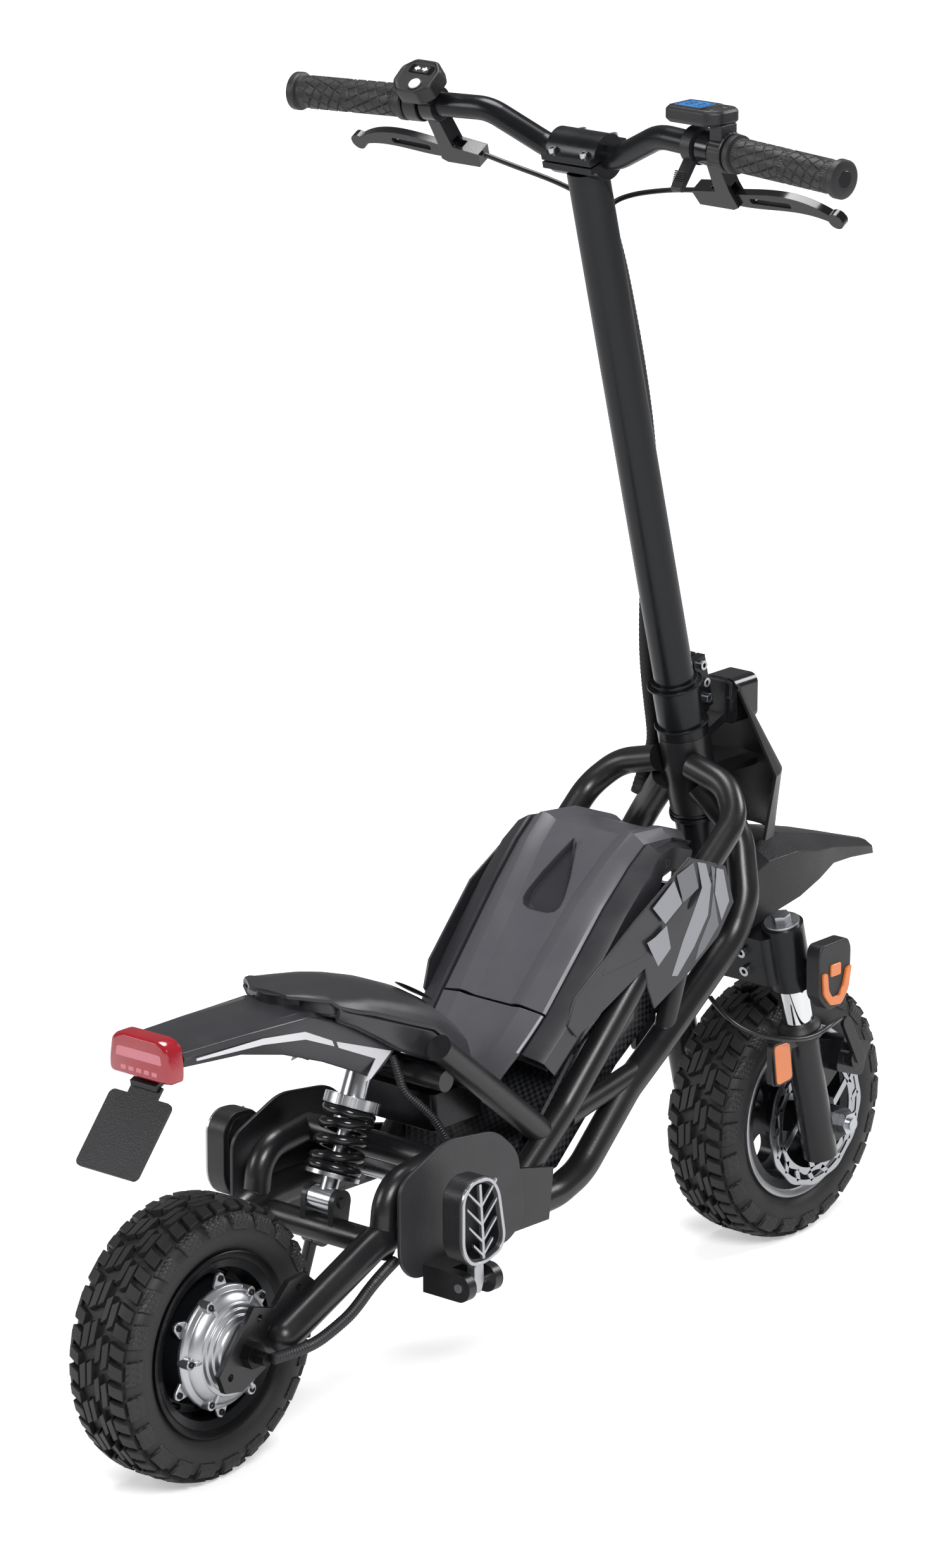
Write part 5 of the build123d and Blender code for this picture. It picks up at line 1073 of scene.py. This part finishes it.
def ring_ribs(t, a):
    """Ribs round the clamp ring, between its plain ends."""
    return 0.5 if 1 < t < 15 and math.sin(a * 24) > 0 else 0


round_line(bm, bar_end(-1) + along_bar(-1) * 127, along_bar(-1), ring_profile, relief=ring_ribs)
piece("display_ring", bm, grained, "steering", "cover_black", angle=30)
key_rubber = finish("black_silicone_keys", "#151517", 0.5, grain=0.4, depth=0.1)
dome_profile = [(-3.0, 4.7), (0.1, 4.7), (0.7, 4.2), (1.0, 2.6), (1.1, 0.4)]
for name, x in (("power", 76), ("mode", 94)):
    bm = bmesh.new()
    skin(bm, [ring for up, r in dome_profile for ring in flat(circle(r, 40, x, -172), 1161 + up)])
    piece(f"{name}_key_dome", bm, key_rubber, f"{name}_key", "rubber", f"{name}_button", angle=50)

# ---- Control pod ----
# An eight-sided pod on the left of the bar: matt black with a raised rim, a sliding switch
# marked with two white arrows and a round white key below it.
pod_black = finish("matt_black_pod", "#161618", 0.4, grain=0.5, depth=0.2, shade=0.06, edge=0.4)
print_white = finish("white_pad_print", "#D9DADC", 0.5, grain=0.3, depth=0.03, shade=0.02)
pod_lean = math.radians(38)
pod_normal = Vector((-math.sin(pod_lean), 0, math.cos(pod_lean)))
pod_right = Vector((0, -1, 0))
pod_up = pod_normal.cross(pod_right)
pod_middle = Vector((90.75, 161.52, 1123.72))


def pod_skin(bm, outline, *levels, u=0, v=0, caps=True):
    """Join copies of an outline round (u, v) on the pod, each at a (size, height)."""
    middle = pod_middle + pod_right * u + pod_up * v
    rings = [
        [middle + pod_right * a * k + pod_up * b * k + pod_normal * w for a, b in outline]
        for k, w in levels
    ]
    skin(bm, rings, caps=caps)


eight = [(-12, -20), (12, -20), (22.5, -10), (23, 9), (13, 20), (-12, 20), (-23, 9), (-22.5, -9)]
switch_u, switch_v, key_u, key_v = 1, 8, 4, -9
bm = bmesh.new()
pod_skin(
    bm, softened(eight, 3.5, 4), (0.84, 17.5), (1, 21), (1, 34.2), (0.95, 36.2), (0.87, 36.4), (0.84, 35.4),
)
pod_skin(bm, rectangle(-21, -7, -11, 11), (1, 11), (1, 19))
pod_ring = [(0.3, 11.3), (0.3, 16.8), (1, 17.4), (14.4, 17.4), (15, 16.8), (15, 11.3)]
round_line(bm, bar_end(1) + along_bar(1) * 127.5, along_bar(1), pod_ring, turns=72)
piece("pod_shell", bm, pod_black, "steering", "cover_black", "control_pod", rounded=0.4, angle=28)
bm = bmesh.new()
pod_skin(bm, softened(rectangle(-13.5, 13.5, -5, 5), 3), (1, 33), (1, 35.75), u=switch_u, v=switch_v)
piece("switch_bed", bm, glass, "steering", "cover_black", angle=30)
bm = bmesh.new()
knob = softened(rectangle(-8.8, 8.8, -4.2, 4.2), 1.6)
pod_skin(bm, knob, (1, 33.2), (1, 36.0), (0.93, 36.5), u=switch_u, v=switch_v)
piece("switch_knob", bm, pod_black, "switch", "key", "signal_switch", rounded=0.2, angle=30)
bm = bmesh.new()
arrow = [(1.2, -1.1), (4, -1.1), (4, -2.9), (7.8, 0), (4, 2.9), (4, 1.1), (1.2, 1.1)]
for way in (-1, 1):
    pod_skin(bm, [(way * a, b) for a, b in arrow], (1, 36.3), (1, 36.72), u=switch_u, v=switch_v)
piece("switch_arrows", bm, print_white, "switch", "key")
bm = bmesh.new()
pod_skin(bm, circle(1), (5.8, 33.2), (5.8, 36.2), (5.2, 36.8), (2, 36.9), u=key_u, v=key_v)
piece("horn_key_cap", bm, print_white, "horn_key", "key", "horn_button", angle=40)
bm = bmesh.new()
bezel = ((7.4, 35.2), (7.4, 36.0), (6.9, 36.3), (6.1, 35.6), (6.1, 35.0))
pod_skin(bm, circle(1), *bezel, u=key_u, v=key_v, caps=False)
piece("horn_key_bezel", bm, pod_black, "steering", "cover_black", angle=30)

# ---- Levers and throttle ----
# Levers and perches cast in alloy and lacquered gloss black, and a thumb throttle with
# moulded ribs.
gloss_cast = finish(
    "gloss_black_cast_alloy", "#1C1C1F", 0.14, metallic=0.2, grain=0.6, depth=0.03, shade=0.05, edge=0.9,
)
clad(gloss_cast, "right_brake_lever", "left_brake_lever", "brake_perches")
clad(grained, "throttle")
bm = bmesh.new()
throttle_rib = [(-0.6, -6.2, -0.45), (0.9, -6.2, -0.1), (0.9, 6.2, -0.1), (-0.6, 6.2, -0.45)]
for k in range(7):
    centre = Vector((65.5 + 0.6 * k, -142.5, 1094 + k * 1.7))
    skin(bm, [[centre + Vector((a, b, c + up)) for a, b, c in throttle_rib] for up in (0, 0.7)])
piece("throttle_ribs", bm, key_rubber, "throttle_ring", "rubber")

# ---- Cables and sleeve ----
# Two smooth brake cables run into a braided sleeve beside the stem; the sleeve curves
# from beside the stem down to the frame.
woven = finish("braided_polyester_sleeve", "#1E1E21", 0.75, grain=0.9, depth=0.6, shade=0.18)
rake = math.radians(14.6)


def beside(w, s=29.0, a=0.0):
    """A point w up the steering line, s to the left of it and a ahead of it."""
    return (
        243.99 + a * math.cos(rake) - w * math.sin(rake), s,
        583.7 + a * math.sin(rake) + w * math.cos(rake),
    )


right_route = [
    (118.7, -123, 1077.5), (130.7, -96, 1072.5), (148, -58, 1064), (158, -18, 1054), (158, 6, 1044),
    (152, 10, 1032), beside(450, 11, 25),
]
left_route = [
    (118.7, 123, 1077.5), (122.7, 100, 1071.5), (138, 50, 1058), (150, 20, 1042), beside(445, 9, 28),
]
for name, route in (("right", right_route), ("left", left_route)):
    piece(f"{name}_brake_cable", swept(route, 2.45), rubber_hose, "steering", "rubber", angle=70)
sleeve_route = [
    beside(470, 12, 24), beside(430, 8, 28), beside(360, 6, 29), beside(280, 6, 29), beside(210, 10, 28),
    beside(150, 17, 24), beside(90, 26, 15), beside(35, 30, 5), (247, 34, 588), (264, 43, 548),
    (280, 51, 512), (283, 57, 492), (276, 61, 474), (264, 58, 458),
]
sleeve_bm = swept(sleeve_route, 7.3, rib=0.18, every=5.0, sides=28)
sleeve = piece("cable_sleeve", sleeve_bm, woven, None, "woven", "control_cables", angle=70)
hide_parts("frame_cables")
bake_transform(sleeve)

# ---- Fork ----
# Painted lowers with rubber wipers, amber reflectors in black frames with a faint painted glow, a machined
# lip on both rims, and dark anodised rings on the stem and head tube.
lower_paint = finish("satin_black_fork_paint", "#1F1F22", 0.26, metallic=0.3, grain=0.6, depth=0.05, edge=0.8)
clad(lower_paint, "fork_lowers")
clad(gloss_cast, "brake_caliper")
wiper_rubber = finish("nitrile_wiper", "#161618", 0.5, grain=0.4, depth=0.1)
# A faint amber glow: on the reflectors, which are no lamps, it is a painted glow.
amber = finish(
    "moulded_amber_lens", "#C8692A", 0.12, grain=0.8, depth=0.05, shade=0.1, **glowing("#E8862C", 0.12),
    **{"Coat Weight": 0.6},
)
steer_line = Vector(beside(1)) - Vector(beside(0))
wiper_profile = [(-1, 14.3), (-1, 20), (1, 20.4), (3, 19), (4.5, 17.4), (6.5, 16.8), (8, 15.6), (8, 14.3)]
reflector_x, reflector_z = 304, 212
reflector = softened([(290, 232), (313, 231), (318, 194), (295, 192)], 5)
frame_shape = [
    (reflector_x + (x - reflector_x) * 1.14, reflector_z + (z - reflector_z) * 1.1) for x, z in reflector
]
bm = bmesh.new()
for side in (-1, 1):
    round_line(bm, beside(-361, side * 75, 8), steer_line, wiper_profile, turns=64)
piece("fork_wipers", bm, wiper_rubber, "lowers", "rubber", angle=40)
for name, side in sides:
    # Each reflector's faint amber glow is a painted glow, not a lamp.
    bm = bmesh.new()
    slab(bm, reflector, side * 84.5, side * 87.4)
    piece(f"{name}_reflector", bm, amber, "lowers", "lens_amber", rounded=0.8, angle=40)
    bm = bmesh.new()
    slab(bm, frame_shape, side * 79, side * 86.6, hole=reflector)
    piece(f"{name}_reflector_frame", bm, pod_black, "lowers", "cover_black", rounded=0.5, angle=40)
bm = bmesh.new()
for start, radius in ((beside(-6, 0), 26.2), (beside(-47, 0), 25.6)):
    collar_ring = [(0, 19), (0, radius - 0.4), (0.6, radius), (1.6, radius), (2.2, radius - 0.4), (2.2, 19)]
    round_line(bm, start, steer_line, collar_ring)
low_ring = [(0, 16), (0, 24.6), (0.8, 25.2), (2.6, 25.2), (3.2, 24.6), (3.2, 16)]
round_line(bm, (278.5, 0, 451.1), steer_line, low_ring)
piece("stem_rings", bm, anodised, "steering", "dark_metal", angle=35)
lip = [(31.2, 84.5), (34.3, 84.8), (35.0, 83.9), (34.2, 80.6), (31.2, 77)]
for (name, x), lip_finish in zip(wheels, (polished, black_screw)):
    bm = bmesh.new()
    for side in (-1, 1):
        lathe(bm, [(side * y, r) for y, r in lip], (x, 0, axle_height), turns=160)
    piece(f"{name}_rim_lip", bm, lip_finish, f"{name}_wheel", "alloy", angle=30)

# ---- Lamps, plate and shield ----
# A red tail lamp with pale bars in its lens, grained ABS for the shield and the plate, and
# a gloss headlight with a frosted lens.
def upright(outline, *stations):
    """Copies of a (y, z) outline at several x."""
    return [[(x, y, z) for y, z in outline] for x in stations]


red_lens = finish(
    "moulded_red_lens", "#8E1522", 0.16, grain=1.5, depth=0.1, shade=0.12, **glowing("#B01A2A", 0.1),
    **{"Coat Weight": 0.8},
)
pale_lens = finish("pale_pink_light_bars", "#C4757F", 0.2, grain=1.2, depth=0.1, shade=0.1)
clear_lens = finish("frosted_clear_lens", "#B9BCC0", 0.16, grain=1.2, depth=0.2, shade=0.05)
piano = finish("gloss_black_abs", "#1A1A1D", 0.16, grain=0.6, depth=0.03, shade=0.05, edge=0.8)
clad(grained, "shield", "number_plate")
clad(piano, "headlight")
bm = bmesh.new()
lamp_middle = 400
tail_lamp = softened(
    [(-36, 381), (36, 381), (37, 392), (34, 414), (24, 419.4), (-24, 419.4), (-34, 414), (-37, 392)], 5,
)
lens_steps = ((-466.3, 1.0), (-478.5, 1.0), (-482, 0.95), (-483.6, 0.86))
skin(bm, [[(x, y * k, lamp_middle + (z - lamp_middle) * k) for y, z in tail_lamp] for x, k in lens_steps])
piece("tail_lens", bm, red_lens, "frame", "lens_red", "tail_light", rounded=0.6, angle=30)
bm = bmesh.new()
skin(bm, upright(softened([(-27, 398), (27, 398), (25, 407), (-25, 407)], 2.5), -482.5, -484.1))
for y in (-18, -9, 0, 9, 18):
    skin(bm, upright(rectangle(y - 3, y + 3, 386.5, 390.5), -482, -483.9))
piece("tail_light_bars", bm, pale_lens, "frame", "lens_red", rounded=0.4, angle=40)
bm = bmesh.new()
skin(bm, upright(softened(rectangle(-14, 14, 534, 564), 4), 345, 349.2))
piece("headlight_lens", bm, clear_lens, "frame", "lamp", rounded=0.8, angle=40)
bm = bmesh.new()
hood_middle = 559.5
hood = softened(rectangle(-15, 15, 551, 568), 3)
hollow = [(y * 0.8, hood_middle + (z - hood_middle) * 0.7) for y, z in hood]
skin(bm, upright(hood, 313, 310.6) + upright(hollow, 310.4, 312.8), caps=False)
piece("headlight_hood", bm, graphite_dark, "frame", "cover_black", rounded=0.4, angle=30)

# ---- Turn signals ----
# Black shells on short posts, each with an amber band round its lower half and a small
# amber window above it.
shell = softened(
    [(311, 322), (315, 331), (355, 331), (360, 322), (359, 283), (347, 267), (326, 266), (312, 281)], 5,
)
outer_band = [(315, 304), (317, 283), (327, 271), (343, 269), (353, 280), (359, 304)]
inner_band = [(351, 303), (346, 286), (340, 278), (329, 279), (324, 287), (322, 304)]
for name, side in sides:
    bm = bmesh.new()
    slab(bm, shell, side * 106, side * 122)
    slab(bm, circle(5, 24, 333.6, 304), side * 94.6, side * 108)
    hidden = ("turn_signals",) if side < 0 else ()
    piece(
        f"{name}_signal_shell", bm, grained, "steering", "cover_black", *hidden, rounded=1.6, steps=3,
        angle=40,
    )
    bm = bmesh.new()
    slab(bm, softened(outer_band + inner_band, 3), side * 121, side * 124.4)
    slab(bm, softened(rectangle(328, 343, 298, 310), 2), side * 121, side * 123.6)
    piece(f"{name}_signal_lens", bm, amber, "steering", "lens_amber", rounded=0.9, steps=3, angle=50)

# ---- Front fender ----
# A grained ABS shell, moulded with a flat ridge and two faceted sides that taper to its
# tip; its rear edge is cut back round the fork crown.
bm = bmesh.new()
fender_rows = [
    (
        300, 21.5, 396, 46, 384, 50.5, 337,
    ), (330, 23, 409.6, 47, 396, 51, 345), (373, 24, 410.6, 48, 396, 51, 352),
    (410, 22, 401, 43, 387, 46, 360), (
        442, 19, 392.6, 36, 382, 37.5, 366,
    ), (481, 14, 380.5, 27, 372, 28.5, 361),
    (531, 7, 364.2, 15.5, 359, 17, 351.5),
]
rings = []
for x, ridge, top, rim, shoulder, edge, low in fender_rows:
    half = [(ridge, top - 0.8), (rim, shoulder), (edge, low)]
    inner = [(edge - 2.6, low), (rim - 2.6, shoulder - 2.2), (ridge, top - 3.6)]
    other = [(-y, z) for y, z in reversed(half + inner)]
    rings.append([(x, y, z) for y, z in [(0, top), *half, *inner, (0, top - 2.8), *other]])
skin(bm, rings)
cut_back = [v for v in bm.verts if v.co.x < 301 and abs(v.co.y) < 22]
bmesh.ops.translate(bm, vec=(17, 0, 6), verts=cut_back)
piece("front_fender_shell", bm, grained, "steering", "cover_black", "front_fender", rounded=0.7, angle=14)

# ---- Brake disc ----
# A stamped steel rotor: a wavy braking band pierced by slanted bridges, and six swept arms
# on a dark carrier.
steel_band = finish(
    "ground_stainless_steel", "#A9ABAF", 0.26, metallic=1.0, grain=0.25, depth=0.06, shade=0.06, edge=0.3,
)
front_x = wheels[0][1]
rotor_faces = (-49.1, -50.9)
bm = bmesh.new()
for outer_r, inner_r, wave in ((69.2, 63.6, 0.9), (57.2, 51.6, -1.4)):
    radii = [outer_r + wave * math.cos(24 * math.pi * k / 144) for k in range(144)]
    rim = [(front_x + r * u, axle_height + r * v) for r, (u, v) in zip(radii, circle(1, 144))]
    slab(bm, rim, *rotor_faces, hole=circle(inner_r, 144, front_x, axle_height))
for near, far, lean, wide, count in ((56, 64.6, 7, 2.6, 18), (24, 53, 26, 3.4, 6)):
    for k in range(count):
        a = 2 * math.pi * k / count
        b = a + math.radians(lean)
        p, q = Vector((math.cos(a), math.sin(a))) * near, Vector((math.cos(b), math.sin(b))) * far
        off = (q - p).normalized().orthogonal() * wide
        slab(
            bm, [(front_x + v.x, axle_height + v.y) for v in (p - off, q - off, q + off, p + off)],
            *rotor_faces,
        )
piece("brake_rotor", bm, steel_band, "front_wheel", "steel", "front_disc", angle=30)
bm = bmesh.new()
lobes = [27.5 - 3.5 * (k % 12 > 5) for k in range(72)]
carrier = [(front_x + r * u, axle_height + r * v) for r, (u, v) in zip(lobes, circle(1, 72))]
slab(bm, carrier, -48.9, -51.6, hole=circle(15.2, 72, front_x, axle_height))
piece("rotor_carrier", bm, anodised, "front_wheel", "dark_metal", rounded=0.3, angle=40)

# ---- Battery box ----
# A closed box of carbon fibre in a diagonal twill under clear lacquer: small squares that take the light in
# turn, with that sheen painted as lighter and darker squares. The squares are drawn coarse enough to show.
weave = bpy.data.materials.new("lacquered_carbon_twill")
weave.use_nodes = True
tree = weave.node_tree
tree.nodes.clear()
squares_a_metre = 260
place = add(tree, "ShaderNodeTexCoord").outputs["Object"]
slanted = add(
    tree, "ShaderNodeMapping",
    {"Vector": place, "Rotation": (0, math.radians(45), 0), "Scale": [squares_a_metre] * 3},
)
# The twill pattern is real; its lighter squares are painted sheen and its darker squares painted shade, and
# their roughness differs too.
cells = add(
    tree, "ShaderNodeTexChecker",
    {"Vector": slanted.outputs[0], "Color1": linear("#2C2D31"), "Color2": linear("#151517"), "Scale": 1.0},
)
shine = add(tree, "ShaderNodeMapRange", {0: cells.outputs["Fac"], 3: 0.28, 4: 0.5})
shader = add(
    tree, "ShaderNodeBsdfPrincipled",
    {
        "Base Color": cells.outputs[0], "Roughness": shine.outputs[0], "Coat Weight": 0.7,
        "Coat Roughness": 0.08,
    },
)
add(tree, "ShaderNodeOutputMaterial", {"Surface": shader.outputs[0]})
clad(weave, "battery_box")
clad(ribbed, "frame_cables")
